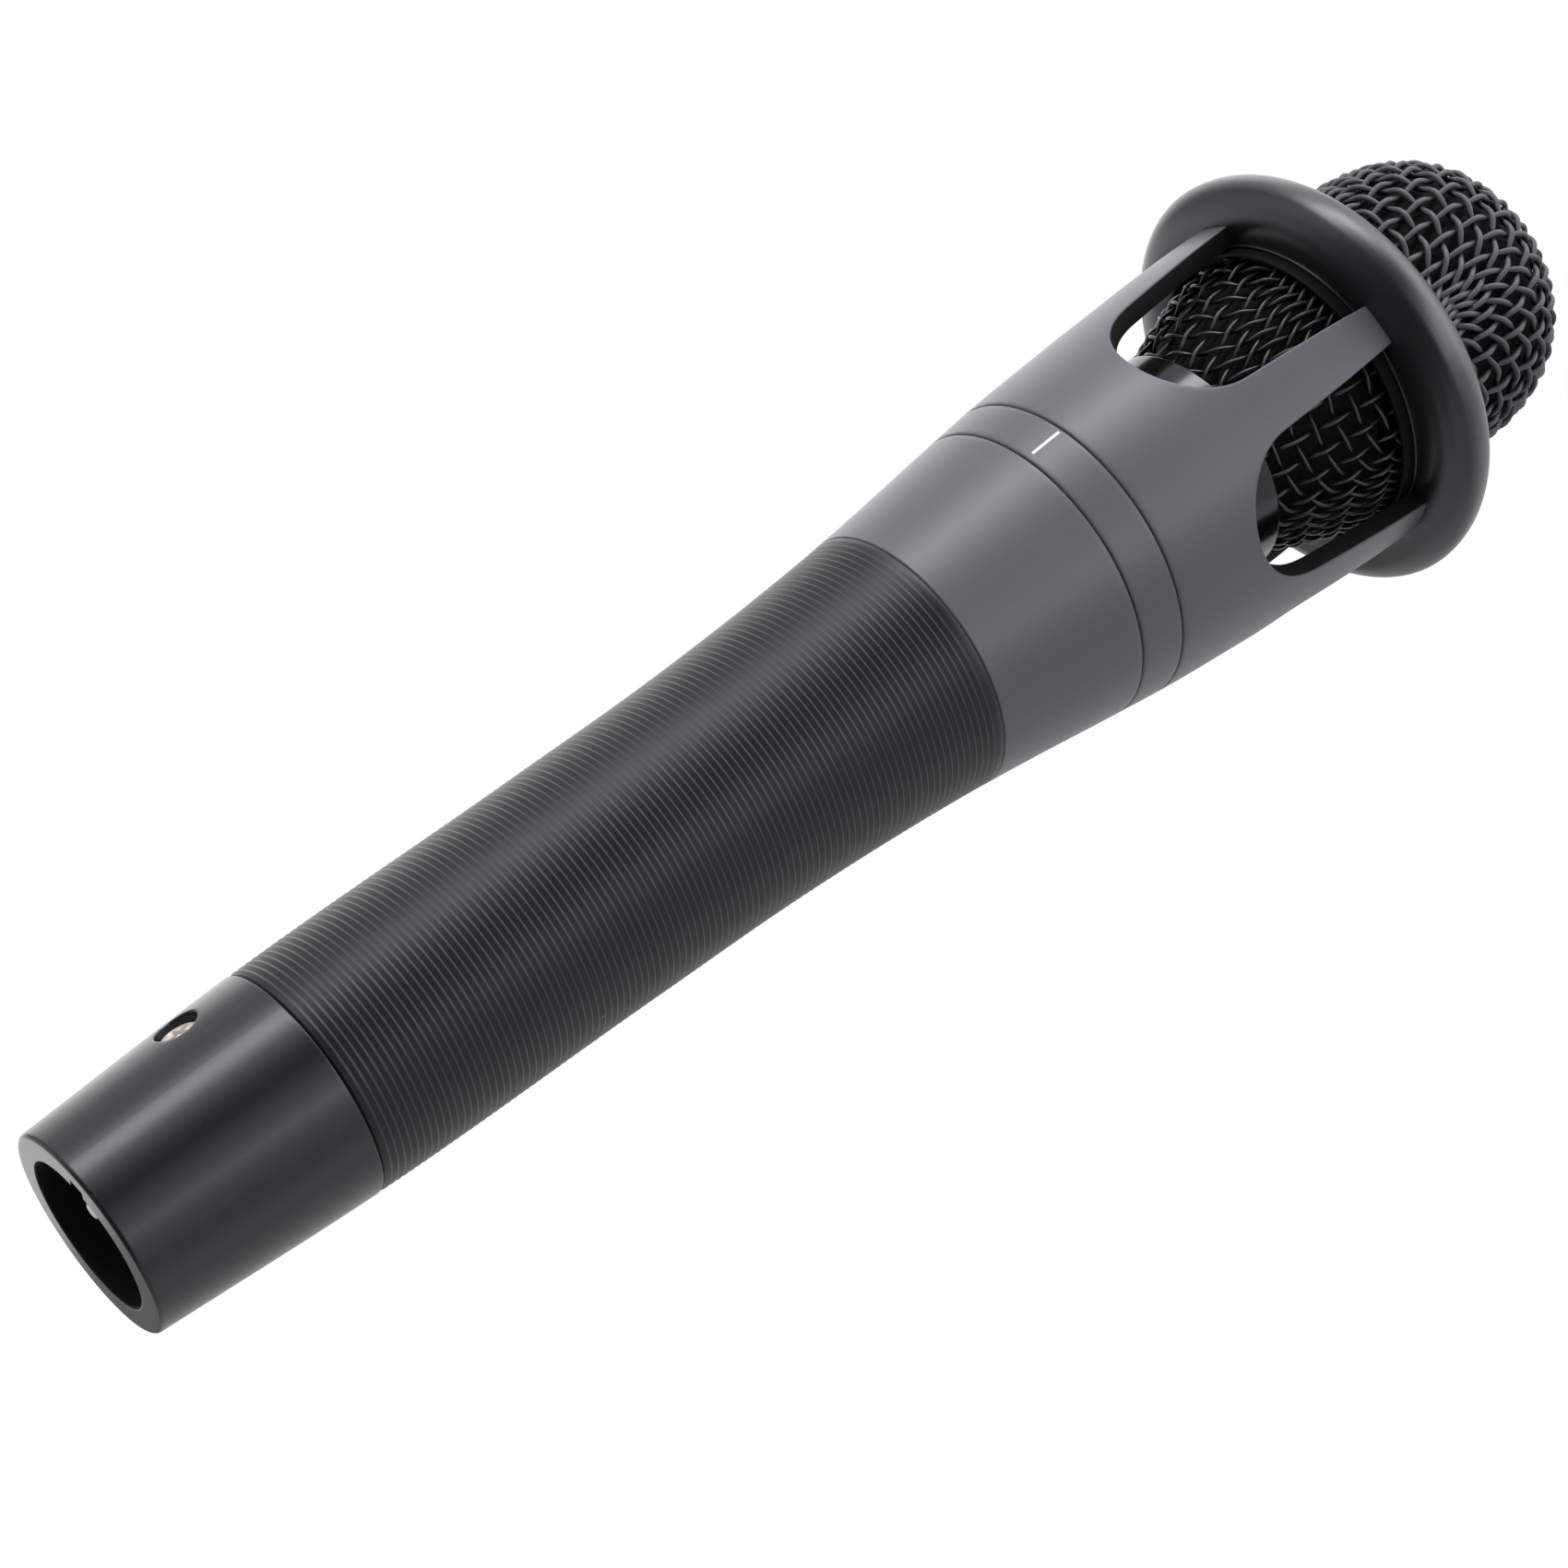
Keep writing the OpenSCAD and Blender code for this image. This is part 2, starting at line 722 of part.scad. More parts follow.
module shock_mount() {
  middle = (z_stem + z_capsule) / 2;
  half = shock_h / 2 - fit_gap;
  color("#242424")
    rotate_extrude()
      polygon(concat(
        [[shock_bore_r, middle + half], [shock_bore_r, middle - half], [shock_r, middle - half]],
        arc([shock_r, middle], -shock_waist, -waist_height_share * half, 90, -90, 10),
        [[shock_r, middle + half]]
      ));
}

// Capsule, from its rear floor to its front cap

inner_r = capsule_r - shell_t;
z_board = z_capsule + shell_floor_t;
z_pot = z_board + board_t + rear_chamber;
z_magnet = z_pot + pot_floor;
z_pole = z_magnet + magnet_h;
z_face = z_pole + pole_h;
pot_r = inner_r - pot_gap;
pot_bore_r = pot_r - pot_wall;
plate_bore_r = pot_bore_r - plate_lip;
coil_out = plate_bore_r - coil_gap;
coil_in = coil_out - coil_t;
pole_r = coil_in - coil_gap;
magnet_r = pole_r - magnet_in;
z_coil = z_face - coil_dip;
z_film = z_coil + coil_h + fit_gap;
z_cap = z_film + film_t + film_dome_h + cap_room;
ledge_r = pot_r - pot_ledge;
vents = 6;
vent_r = 0.9;
lip_vent_share = 0.39;

module capsule_shell() {
  color("#a7a9ac")
    difference() {
      rotate_extrude()
        polygon([
          [stem_bore_r, z_capsule],
          [capsule_r, z_capsule],
          [capsule_r, z_cap],
          [inner_r, z_cap],
          [inner_r, z_pot],
          [ledge_r, z_pot],
          [ledge_r, z_board],
          [stem_bore_r, z_board]
        ]);
      for (k = [0:vents - 1])
        facing(k * 360 / vents)
          radial_pin(vent_r, ledge_r / 2, 2 * capsule_r, z_pot - rear_chamber / 2);
    }
}

module terminal_board() {
  color("#8a6a2f")
    difference() {
      translate([0, 0, z_board])
        cylinder(r = ledge_r - fit_gap, h = board_t);
      for (k = [0:vents - 1])
        facing(k * 360 / vents)
          translate([pot_r / 2, 0, 0])
            cylinder(r = vent_r, h = 2 * z_board);
    }
}

module magnet_pot() {
  color("#77797c")
    rotate_extrude()
      polygon([
        [0, z_pot],
        [inner_r - fit_gap, z_pot],
        [inner_r - fit_gap, z_pot + pot_floor],
        [pot_r, z_pot + pot_floor],
        [pot_r, z_pole],
        [pot_bore_r, z_pole],
        [pot_bore_r, z_magnet],
        [0, z_magnet]
      ]);
}

module magnet() {
  color("#b9bcc0")
    translate([0, 0, z_magnet])
      cylinder(r = magnet_r, h = magnet_h);
}

module pole_piece() {
  color("#85878a")
    translate([0, 0, z_pole])
      cylinder(r = pole_r, h = pole_h);
}

module front_plate() {
  color("#77797c")
    difference() {
      tube(inner_r - fit_gap, plate_bore_r, z_pole, pole_h);
      for (k = [0:vents - 1])
        facing((k + 0.5) * 360 / vents)
          translate([plate_bore_r + plate_lip / 2, 0, z_pole - pole_h])
            cylinder(r = lip_vent_share * plate_lip, h = 3 * pole_h);
    }
}

module damping_felt() {
  color("#d9d4c8")
    tube(inner_r - clamp_w - fit_gap, plate_bore_r + coil_gap, z_face, felt_t);
}

module lower_clamp_ring() {
  color("#a7a9ac")
    tube(inner_r - fit_gap, inner_r - clamp_w, z_face, z_film - fit_gap - z_face);
}

module upper_clamp_ring() {
  low = z_film + film_t + fit_gap;
  color("#a7a9ac")
    tube(inner_r - fit_gap, inner_r - clamp_w, low, z_cap - low);
}

// A thin dome on the coil, with a rolled edge that the clamp rings hold
module diaphragm() {
  rim_r = inner_r - 2 * fit_gap;
  roll_r = inner_r - clamp_w;
  roll_mid = (coil_out + roll_r) / 2;
  roll_half = (roll_r - coil_out) / 2;
  top = z_film + film_t;
  color("#d8cfa8")
    rotate_extrude()
      polygon(concat(
        arc([0, z_film], coil_in, film_dome_h, 90, 0, 10),
        [[coil_out, z_film]],
        arc([roll_mid, z_film], roll_half, film_roll_h, 180, 0, 10),
        [[rim_r, z_film], [rim_r, top]],
        arc([roll_mid, top], roll_half, film_roll_h, 0, 180, 10),
        arc([0, top], coil_in, film_dome_h, 0, 90, 10)
      ));
}

module voice_coil() {
  color("#b5651d")
    tube(coil_out, coil_in, z_coil, coil_h);
}

// Rows of holes in the front cap: share of its radius, and number of holes
cap_rows = [[0, 1], [0.34, 6], [0.68, 12]];

module front_cap() {
  color("#3a3a3c")
    difference() {
      translate([0, 0, z_cap])
        cylinder(r = capsule_r, h = cap_t);
      for (row = cap_rows)
        for (k = [0:row[1] - 1])
          facing(k * 360 / row[1])
            translate([row[0] * capsule_r, 0, z_cap - cap_t])
              cylinder(r = cap_hole_r, h = 3 * cap_t);
    }
}

// Head

skirt_bore_r = spigot_r + thread_gap + thread_ring_t + skirt_gap;
z_cage = z_band + seam;

module thread_ring() {
  low = z_cage + seam;
  color("#b8a25a")
    tube(skirt_bore_r - skirt_gap, spigot_r + thread_gap, low, z_spigot - seam - low);
}

// Half width of a window at a radius, where a strut has a width
function window_half(r, strut_w) = r * sin(180 / windows - asin(strut_w / 2 / r));
window_r = window_half(outer_r(z_window), strut_foot_w);
window_top_half = window_half(strut_top_r, strut_top_w);
window_steps = 24;

// Direction in which a window's side wall runs inwards, along the strut beside it
strut_half_turn = (asin(strut_foot_w / 2 / outer_r(z_window)) + asin(strut_top_w / 2 / strut_top_r)) / 2;
wall_turn = 180 / windows - strut_half_turn;

// How far to the side a point of the window's outer edge lies, seen along that direction
function beside_wall(p) =
  let (r = outer_r(p[1]))
  r * sin(asin(p[0] / r) - wall_turn);

// One side of a window, open towards the other side: half of a round lower end, and a side that
// leans outwards up to the ring
module window_side() {
  reach = 2 * strut_top_r;
  lean = atan((window_top_half - window_r) / (z_ring_low - z_window));
  top_half = window_top_half + tan(lean) * (z_ring - z_ring_low);
  edge = concat(
    arc([0, z_window], window_r, window_r, 270, 360 - lean, window_steps / 2),
    [[top_half, z_ring]]
  );
  rotate([0, 0, wall_turn])
    rotate([90, 0, 90])
      linear_extrude(reach)
        polygon(concat(
          [[-reach, z_ring], [-reach, z_window - window_r]],
          [for (p = edge) [beside_wall(p), p[1]]]
        ));
}

module window() {
  intersection() {
    window_side();
    mirror([0, 1, 0])
      window_side();
  }
}

module all_windows() {
  for (k = [0:windows - 1])
    facing((k + 0.5) * 360 / windows)
      window();
}

// The struts' wall, also used to cut their pockets in the bumper ring
module strut_wall(low, high) {
  difference() {
    rotate_extrude()
      polygon(concat(outline(low, high), outline(high, low, cage_t)));
    all_windows();
  }
}

module cage() {
  ceiling = z_floor - floor_t;
  color("#6b6b6e")
    union() {
      rotate_extrude()
        polygon(concat(
          [[skirt_bore_r, z_cage], [outer_r(z_cage) - seam_chamfer, z_cage]],
          outline(z_cage + seam_chamfer, z_floor),
          [[floor_hole_r, z_floor], [floor_hole_r, ceiling]],
          [[skirt_bore_r - floor_fillet, ceiling], [skirt_bore_r, ceiling - floor_fillet]]
        ));
      strut_wall(z_floor, z_ring_low + tenon);
    }
}

module base_collar() {
  cup_r = collar_rim_r - collar_wall;
  cup_floor = z_collar - collar_cup_depth;
  rim = collar_wall / 2;
  color("#0c0c0d")
    rotate_extrude()
      polygon(concat(
        [[floor_hole_r, z_floor + fit_gap], [collar_foot_r, z_floor + fit_gap]],
        arc([collar_rim_r - rim, z_collar - rim], rim, rim, 0, 180, 8),
        [[cup_r, cup_floor], [floor_hole_r, cup_floor]]
      ));
}

// A ring with a groove below for the bowl's edge and one above for the dome's edge
module clamp_flange() {
  room = weave_half + wire_end_gap;
  bowl_mid = bowl_top_r - weave_half;
  dome_mid = dome_r - weave_half;
  high = z_flange + flange_h;
  color("#141415")
    rotate_extrude()
      polygon([
        [flange_bore_r, z_flange],
        [bowl_mid - room, z_flange],
        [bowl_mid - room, z_flange + groove_depth],
        [bowl_mid + room, z_flange + groove_depth],
        [bowl_mid + room, z_flange],
        [ring_bore_r - fit_gap, z_flange],
        [ring_bore_r - fit_gap, high],
        [dome_mid + room, high],
        [dome_mid + room, high - groove_depth],
        [dome_mid - room, high - groove_depth],
        [dome_mid - room, high],
        [flange_bore_r, high]
      ]);
}

module bumper_ring() {
  shoulder = ring_centre_r - ring_bore_r;
  centre = [ring_centre_r, z_ring];
  crown = [ring_centre_r, z_ring + ring_high - ring_crown];
  color("#161617")
    difference() {
      rotate_extrude()
        polygon(concat(
          [[ring_bore_r, z_ring_low + ring_lip]],
          arc(centre, ring_out, ring_low, -90, 0),
          arc(centre, ring_out, ring_high, 0, 90),
          arc(crown, shoulder, ring_crown, 90, 180, 6)
        ));
      strut_wall(z_floor, z_ring_low + tenon + fit_gap);
    }
}

// The grille is square weave, drawn from a flat sheet on to a meridian curve: a sheet radius becomes
// a length along the curve, and each wire passes over and under its neighbours in turn

// Meridian of the dome's middle surface from its top to its edge in the flange
dome_steps = 40;
z_dome = z_ring + dome_skirt;
function dome_round(inwards, steps) = [
  for (k = [0:steps])
    let (a = 90 * k / steps, across = sin(a) ^ (2 / dome_power), up = cos(a) ^ (2 / dome_power))
    [(dome_r - inwards) * across, z_dome + (dome_h - inwards) * up]
];
dome_curve = concat(
  dome_round(weave_half, dome_steps),
  [[dome_r - weave_half, z_flange + flange_h - groove_depth + wire_end_gap]]
);

// Meridian of the bowl's middle surface from its foot in the collar to its edge in the flange
bowl_steps = 16;
bowl_end = z_flange + groove_depth - wire_end_gap;
bowl_foot = z_bowl + wire_end_gap;
bowl_curve = [
  for (k = [0:bowl_steps])
    let (t = k / bowl_steps, spread = sin(bowl_bend * t) / sin(bowl_bend))
    [
      bowl_foot_r + (bowl_top_r - bowl_foot_r) * spread - weave_half,
      bowl_foot + (bowl_end - bowl_foot) * t
    ]
];

function stretch(curve, i) = i + 1 < len(curve) ? norm(curve[i + 1] - curve[i]) : 0;
function lengths(curve) = [
  for (i = 0, sum = 0; i < len(curve); sum = sum + stretch(curve, i), i = i + 1)
    sum
];
function length(curve) = lengths(curve)[len(curve) - 1];
function table(curve, column) =
  let (run = lengths(curve))
  [for (i = [0:len(curve) - 1]) [run[i], curve[i][column]]];

// What a weave needs to know: the curve's tables, its length, the sheet's radii and the outward side
function weave(curve, rho_in, rho_out, side) =
  [table(curve, 0), table(curve, 1), length(curve), rho_in, rho_out, side];

// The point of the sheet at x, y, raised from the middle surface by lift, and the outward direction there
nudge = 0.05;
function along(w, rho) = max(0, min(w[2], (rho - w[3]) / (w[4] - w[3]) * w[2]));
function meridian(w, s) = [lookup(s, w[0]), lookup(s, w[1])];
function outwards(w, s, turn) =
  let (
    d = meridian(w, min(w[2], s + nudge)) - meridian(w, max(0, s - nudge)),
    n = w[5] * [-d[1], d[0]] / norm(d)
  )
  [n[0] * cos(turn), n[0] * sin(turn), n[1]];
function on_sheet(w, p, lift) =
  let (
    s = along(w, norm(p)),
    turn = atan2(p[1], p[0]),
    m = meridian(w, s),
    n = outwards(w, s, turn)
  )
  [[m[0] * cos(turn), m[0] * sin(turn), m[1]] + lift * n, n];

// Over and under: a wave that is 1 or -1 at each crossing and straight between them
function wave(x) =
  let (u = x / weave_pitch - 0.5, k = floor(u))
  (k % 2 == 0 ? 1 : -1) * (1 - 2 * (u - k));
function crossing(i) = (i + 0.5) * weave_pitch;

// Stations along one wire between two ends of its run, keeping clear of the ends; both values are
// shares of the pitch, and a run shorter than the second is left out
end_clear = 0.25;
shortest_run = 0.6;
function wire_run(from, to) =
  let (
    first = ceil((from + end_clear * weave_pitch) / weave_pitch - 0.5),
    last = floor((to - end_clear * weave_pitch) / weave_pitch - 0.5)
  )
  concat([from], [if (last >= first) for (i = [first:last]) crossing(i)], [to]);

// All runs of one family: a wire that crosses the sheet's hole is two runs
function half_chord(rho, y) = abs(y) < rho ? sqrt(rho ^ 2 - y ^ 2) : 0;
function runs(w, y) =
  let (outer = half_chord(w[4], y), inner = half_chord(w[3], y))
  inner > 0 ? [[-outer, -inner], [inner, outer]] : [[-outer, outer]];
function family(w, across) =
  let (count = floor(w[4] / weave_pitch - 0.5), least = shortest_run * weave_pitch)
  [
    for (j = [-count - 1:count])
      for (run = runs(w, crossing(j)))
        if (run[1] - run[0] > least)
          [
            for (x = wire_run(run[0], run[1]))
              let (lift = weave_h * wave(x) * (j % 2 == 0 ? 1 : -1))
              across ? on_sheet(w, [crossing(j), x], -lift) : on_sheet(w, [x, crossing(j)], lift)
          ]
  ];

// Four corners of a wire's section at each station
sides = 4;
function section(wire, i) =
  let (
    n = len(wire) - 1,
    t = wire[min(n, i + 1)][0] - wire[max(0, i - 1)][0],
    b = cross(t, wire[i][1]),
    side = b / norm(b)
  )
  [for (k = [0:sides - 1]) wire[i][0] + wire_r * (cos(90 * k) * wire[i][1] + sin(90 * k) * side)];
function tube_faces(start, rings) = concat(
  [
    for (i = [0:rings - 2])
      for (k = [0:sides - 1])
        let (a = start + i * sides + k, b = start + i * sides + (k + 1) % sides)
        each [[a, a + sides, b], [b, a + sides, b + sides]]
  ],
  [[start, start + 1, start + 2], [start, start + 2, start + 3]],
  let (e = start + (rings - 1) * sides) [[e, e + 2, e + 1], [e, e + 3, e + 2]]
);

module woven(w) {
  wires = concat(family(w, false), family(w, true));
  starts = [
    for (i = 0, sum = 0; i < len(wires); sum = sum + sides * len(wires[i]), i = i + 1)
      sum
  ];
  polyhedron(
    points = [for (wire = wires) for (i = [0:len(wire) - 1]) each section(wire, i)],
    faces = [for (i = [0:len(wires) - 1]) each tube_faces(starts[i], len(wires[i]))]
  );
}

module grille_dome() {
  sheet_r = dome_draw * length(dome_curve);
  color("#1b1b1c")
    facing(dome_turn)
      woven(weave(dome_curve, 0, sheet_r, 1));
}

module grille_bowl() {
  hole_r = bowl_foot_r - weave_half;
  sheet_r = hole_r + bowl_draw * length(bowl_curve);
  color("#1b1b1c")
    facing(bowl_turn)
      woven(weave(bowl_curve, hole_r, sheet_r, -1));
}

// Foam behind the weave

foam_steps = 20;

module dome_foam() {
  skin = 2 * weave_half + foam_gap;
  low = z_flange + flange_h + foam_flange_gap;
  outer = dome_round(skin, foam_steps);
  inner = dome_round(skin + foam_t, foam_steps);
  color("#101011")
    rotate_extrude()
      polygon(concat(
        outer,
        [[dome_r - skin, low], [dome_r - skin - foam_t, low]],
        [for (k = [len(inner) - 1:-1:0]) inner[k]]
      ));
}

module bowl_foam() {
  skin = weave_half + foam_gap;
  high = z_flange - foam_flange_gap;
  kept = [
    for (p = bowl_curve)
      if (p[0] - skin > foam_bore_r + foam_edge && p[1] < high)
        p - [skin, 0]
  ];
  top = kept[len(kept) - 1];
  color("#101011")
    rotate_extrude()
      polygon(concat(
        [[foam_bore_r, kept[0][1]]],
        kept,
        [[top[0], high], [foam_bore_r, high]]
      ));
}

connector_housing();
connector_insert();
contact_pin_1();
contact_pin_2();
contact_pin_3();
connector_screw();
handle_body();
grip_sleeve();
band_ring();
ground_lead();
output_leads();
transformer_cradle();
transformer_core();
transformer_winding();
capsule_leads();
capsule_plate();
shock_mount();
capsule_shell();
terminal_board();
magnet_pot();
magnet();
pole_piece();
front_plate();
damping_felt();
lower_clamp_ring();
upper_clamp_ring();
front_cap();
diaphragm();
voice_coil();
thread_ring();
cage();
base_collar();
clamp_flange();
bumper_ring();
grille_bowl();
grille_dome();
bowl_foam();
dome_foam();
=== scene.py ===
# %% [markdown]
# # A hand-held vocal microphone
# This lesson dresses a packed set of solids: a black tail with a cable socket, a ribbed rubber grip,
# a grey metal body with a band, a cage with five windows, a fat black ring and two woven wire grilles.
# The solids are the fixed frame. They are never moved, so every new piece is drawn in their place.

# %% Load the frame
import json
import math

import bmesh
import bpy
import numpy as np
from mathutils import Matrix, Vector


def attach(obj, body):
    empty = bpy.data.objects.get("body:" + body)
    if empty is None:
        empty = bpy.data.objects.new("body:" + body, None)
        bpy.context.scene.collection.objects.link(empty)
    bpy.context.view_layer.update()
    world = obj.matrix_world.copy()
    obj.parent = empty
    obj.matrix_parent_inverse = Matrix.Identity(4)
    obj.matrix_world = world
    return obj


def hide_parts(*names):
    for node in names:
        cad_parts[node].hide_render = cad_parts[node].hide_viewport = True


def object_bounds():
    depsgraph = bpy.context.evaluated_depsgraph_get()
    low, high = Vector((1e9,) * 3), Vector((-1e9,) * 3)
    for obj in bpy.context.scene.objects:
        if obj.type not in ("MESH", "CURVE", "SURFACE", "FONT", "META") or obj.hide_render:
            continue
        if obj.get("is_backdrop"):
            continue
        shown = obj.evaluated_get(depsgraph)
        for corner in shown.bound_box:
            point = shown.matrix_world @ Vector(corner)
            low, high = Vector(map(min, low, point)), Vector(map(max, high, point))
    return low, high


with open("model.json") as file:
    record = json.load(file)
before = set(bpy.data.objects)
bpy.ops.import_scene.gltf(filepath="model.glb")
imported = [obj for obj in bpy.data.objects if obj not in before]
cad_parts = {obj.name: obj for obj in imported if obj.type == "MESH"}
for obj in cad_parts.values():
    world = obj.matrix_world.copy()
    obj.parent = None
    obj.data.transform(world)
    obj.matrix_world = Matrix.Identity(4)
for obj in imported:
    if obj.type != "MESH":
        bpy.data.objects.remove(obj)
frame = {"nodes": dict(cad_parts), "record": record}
cad_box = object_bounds()
scene = bpy.context.scene

# %% [markdown]
# ## The camera
# The photograph looks up along the microphone from below its tail, and the picture is rolled so that
# the microphone lies from the lower left to the upper right. The camera could be aimed with a
# constraint, but its place and its three directions were solved from points in the photograph, so they
# are written straight into its matrix: right, up, and the direction away from the view.

# %% Place the camera
VIEW_PLACE = (0.00931, -0.33317, -0.0672)
VIEW_RIGHT = (0.5836, -0.3293, 0.7423)
VIEW_UP = (-0.8119, -0.2557, 0.5249)
VIEW_BACK = (0.0170, -0.9090, -0.4166)
VIEW_LENS, VIEW_SENSOR, VIEW_NEAR = 81.07, 36, 0.01
LAST_ROW = [0, 0, 0, 1]

camera_data = bpy.data.cameras.new("photo_view")
camera_data.lens = VIEW_LENS
camera_data.sensor_width = VIEW_SENSOR
camera_data.clip_start = VIEW_NEAR
camera = bpy.data.objects.new("photo_view", camera_data)
view_rows = zip(VIEW_RIGHT, VIEW_UP, VIEW_BACK, VIEW_PLACE)
camera.matrix_world = Matrix([list(row) for row in view_rows] + [LAST_ROW])
scene.collection.objects.link(camera)
scene.camera = camera
scene.view_settings.view_transform = "Standard"
print("camera at", [round(c, 3) for c in camera.location])

# %% [markdown]
# ## Shader maths as Python
# A finish is a tree of nodes. Wiring each Math node by hand hides the idea, so a small class wraps a
# socket: sums and products of wrapped sockets add the Math nodes by themselves. A bench holds one tree,
# and one method on it adds any other node from its type, its settings and the values of its sockets.


# %% The socket class and the bench
class Value:
    """A socket that carries a number; arithmetic on it adds Math nodes."""

    def __init__(self, tree, socket):
        self.tree = tree
        self.socket = socket

    def math(self, operation, other=0.0, swapped=False):
        node = self.tree.nodes.new("ShaderNodeMath")
        node.operation = operation
        pair = (other, self) if swapped else (self, other)
        for socket, item in zip(node.inputs, pair):
            feed(self.tree, socket, item)
        return Value(self.tree, node.outputs[0])

    def __add__(self, other):
        return self.math("ADD", other)

    def __sub__(self, other):
        return self.math("SUBTRACT", other)

    def __rsub__(self, other):
        return self.math("SUBTRACT", other, swapped=True)

    def __mul__(self, other):
        return self.math("MULTIPLY", other)

    def __truediv__(self, other):
        return self.math("DIVIDE", other)

    def __rtruediv__(self, other):
        return self.math("DIVIDE", other, swapped=True)

    def __pow__(self, power):
        return self.math("POWER", power)

    def __rpow__(self, base):
        return self.math("POWER", base, swapped=True)

    __radd__ = __add__
    __rmul__ = __mul__


def feed(tree, socket, item):
    if isinstance(item, Value):
        tree.links.new(item.socket, socket)
    else:
        socket.default_value = item


class Bench:
    """One node tree with a single way to add nodes to it."""

    def __init__(self, tree):
        self.tree = tree
        tree.nodes.clear()

    def node(self, kind, settings=None, sockets=None, out=0):
        node = self.tree.nodes.new(kind)
        for name, item in (settings or {}).items():
            setattr(node, name, item)
        for name, item in (sockets or {}).items():
            feed(self.tree, node.inputs[name], item)
        return Value(self.tree, node.outputs[out]) if node.outputs else None

    def mix(self, amount, first, second):
        return self.node(
            "ShaderNodeMix", {"data_type": "RGBA"}, {0: amount, 6: first, 7: second}, out=2
        )

    def step(self, value, low, high):
        return self.node(
            "ShaderNodeMapRange",
            {"interpolation_type": "SMOOTHSTEP"},
            {"Value": value, "From Min": low, "From Max": high},
        )


print("the bench is ready")

# %% [markdown]
# ## Floor and light
# The photograph has a plain white ground and soft light: a tall soft panel on the left gives the long
# pale streak, a narrow one in front gives the second, weaker streak, and two behind light the left edge
# and the tail's flat end. Lamps that only shine could stand anywhere, but these are also mirrored in the
# paint, so their places were fitted to the streaks. The floor lies well below, because the camera looks
# up from under the tail. The world is white where the camera or a reflection sees it, and a quiet grey
# where it lights the surfaces, so the ground is white without more light on the object.

# %% A board, and the floor
CORNERS = ((-1, -1), (1, -1), (1, 1), (-1, 1))


def board(name, place, width, height, levels, grain, rough):
    """A flat board at a place, which is a matrix, with two close greys in its grain."""
    mesh = bpy.data.meshes.new(name)
    mesh.from_pydata([(x * width / 2, y * height / 2, 0) for x, y in CORNERS], [], [(0, 1, 2, 3)])
    finish = bpy.data.materials.new(name)
    finish.use_nodes = True
    bench = Bench(finish.node_tree)
    speckle = bench.node("ShaderNodeTexNoise", None, {"Scale": grain})
    colour = bench.mix(speckle, *((level, level, level, 1) for level in levels))
    shader = bench.node("ShaderNodeBsdfPrincipled", None, {"Base Color": colour, "Roughness": rough})
    bench.node("ShaderNodeOutputMaterial", None, {"Surface": shader})
    mesh.materials.append(finish)
    plate = bpy.data.objects.new(name, mesh)
    plate.matrix_world = place
    scene.collection.objects.link(plate)
    return plate


FLOOR_SIZE, FLOOR_LEVEL, FLOOR_GREYS, FLOOR_GRAIN, FLOOR_ROUGH = 6.0, -0.3, (0.84, 0.88), 8.0, 0.9
floor_place = Matrix.Translation((0, 0, FLOOR_LEVEL))
floor = board("floor", floor_place, FLOOR_SIZE, FLOOR_SIZE, FLOOR_GREYS, FLOOR_GRAIN, FLOOR_ROUGH)
floor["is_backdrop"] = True
print("floor at", FLOOR_LEVEL, "m")

# %% The world
WORLD_GREY, WHITE = 0.3, (1, 1, 1, 1)
world = bpy.data.worlds.new("studio")
scene.world = world
world.use_nodes = True
sky = Bench(world.node_tree)
seen = 0
for ray in ("Is Camera Ray", "Is Glossy Ray", "Is Transmission Ray"):
    seen = seen + sky.node("ShaderNodeLightPath", out=ray)
quiet = sky.node("ShaderNodeBackground", None, {"Color": WHITE, "Strength": WORLD_GREY})
white = sky.node("ShaderNodeBackground", None, {"Color": WHITE, "Strength": 1.0})
both = sky.node("ShaderNodeMixShader", None, {0: seen, 1: quiet, 2: white})
sky.node("ShaderNodeOutputWorld", None, {"Surface": both})
print("the world lights surfaces at", WORLD_GREY)

# %% The lamps
AIM = np.array((0.0, 0.0, 0.1))


def direction(azimuth, elevation):
    """The direction from the object at an azimuth from the front, positive to the right, and a height."""
    a, e = math.radians(azimuth), math.radians(elevation)
    return np.array((math.sin(a) * math.cos(e), -math.cos(a) * math.cos(e), math.sin(e)))


def facing_matrix(azimuth, elevation, distance):
    """A frame whose local -Z looks at the object, with Y kept as upright as it can be."""
    place = AIM + distance * direction(azimuth, elevation)
    back = place - AIM
    back = back / np.linalg.norm(back)
    side = np.cross((0, 0, 1), back)
    side = side / np.linalg.norm(side)
    upright = np.cross(back, side)
    rows = np.column_stack((side, upright, back, place))
    return Matrix([list(row) for row in rows] + [LAST_ROW])


# azimuth, elevation, distance, width, height, power
PANELS = {
    "left_streak": (-58, 22, 0.8, 0.22, 1.1, 6.5),
    "back_left": (-140, 30, 0.9, 0.8, 0.9, 2.5),
    "back_low": (-165.4, -11, 0.9, 0.42, 0.4, 0.48),
    "top": (-10, 65, 0.8, 0.7, 0.7, 3),
    "front_strip": (23, 20, 0.8, 0.17, 0.9, 1.0),
}
for name, (azimuth, elevation, distance, width, height, watts) in PANELS.items():
    lamp = bpy.data.lights.new(name, "AREA")
    lamp.shape = "RECTANGLE"
    lamp.size = width
    lamp.size_y = height
    lamp.energy = watts
    holder = bpy.data.objects.new(name, lamp)
    holder.matrix_world = facing_matrix(azimuth, elevation, distance)
    holder.visible_camera = False
    scene.collection.objects.link(holder)

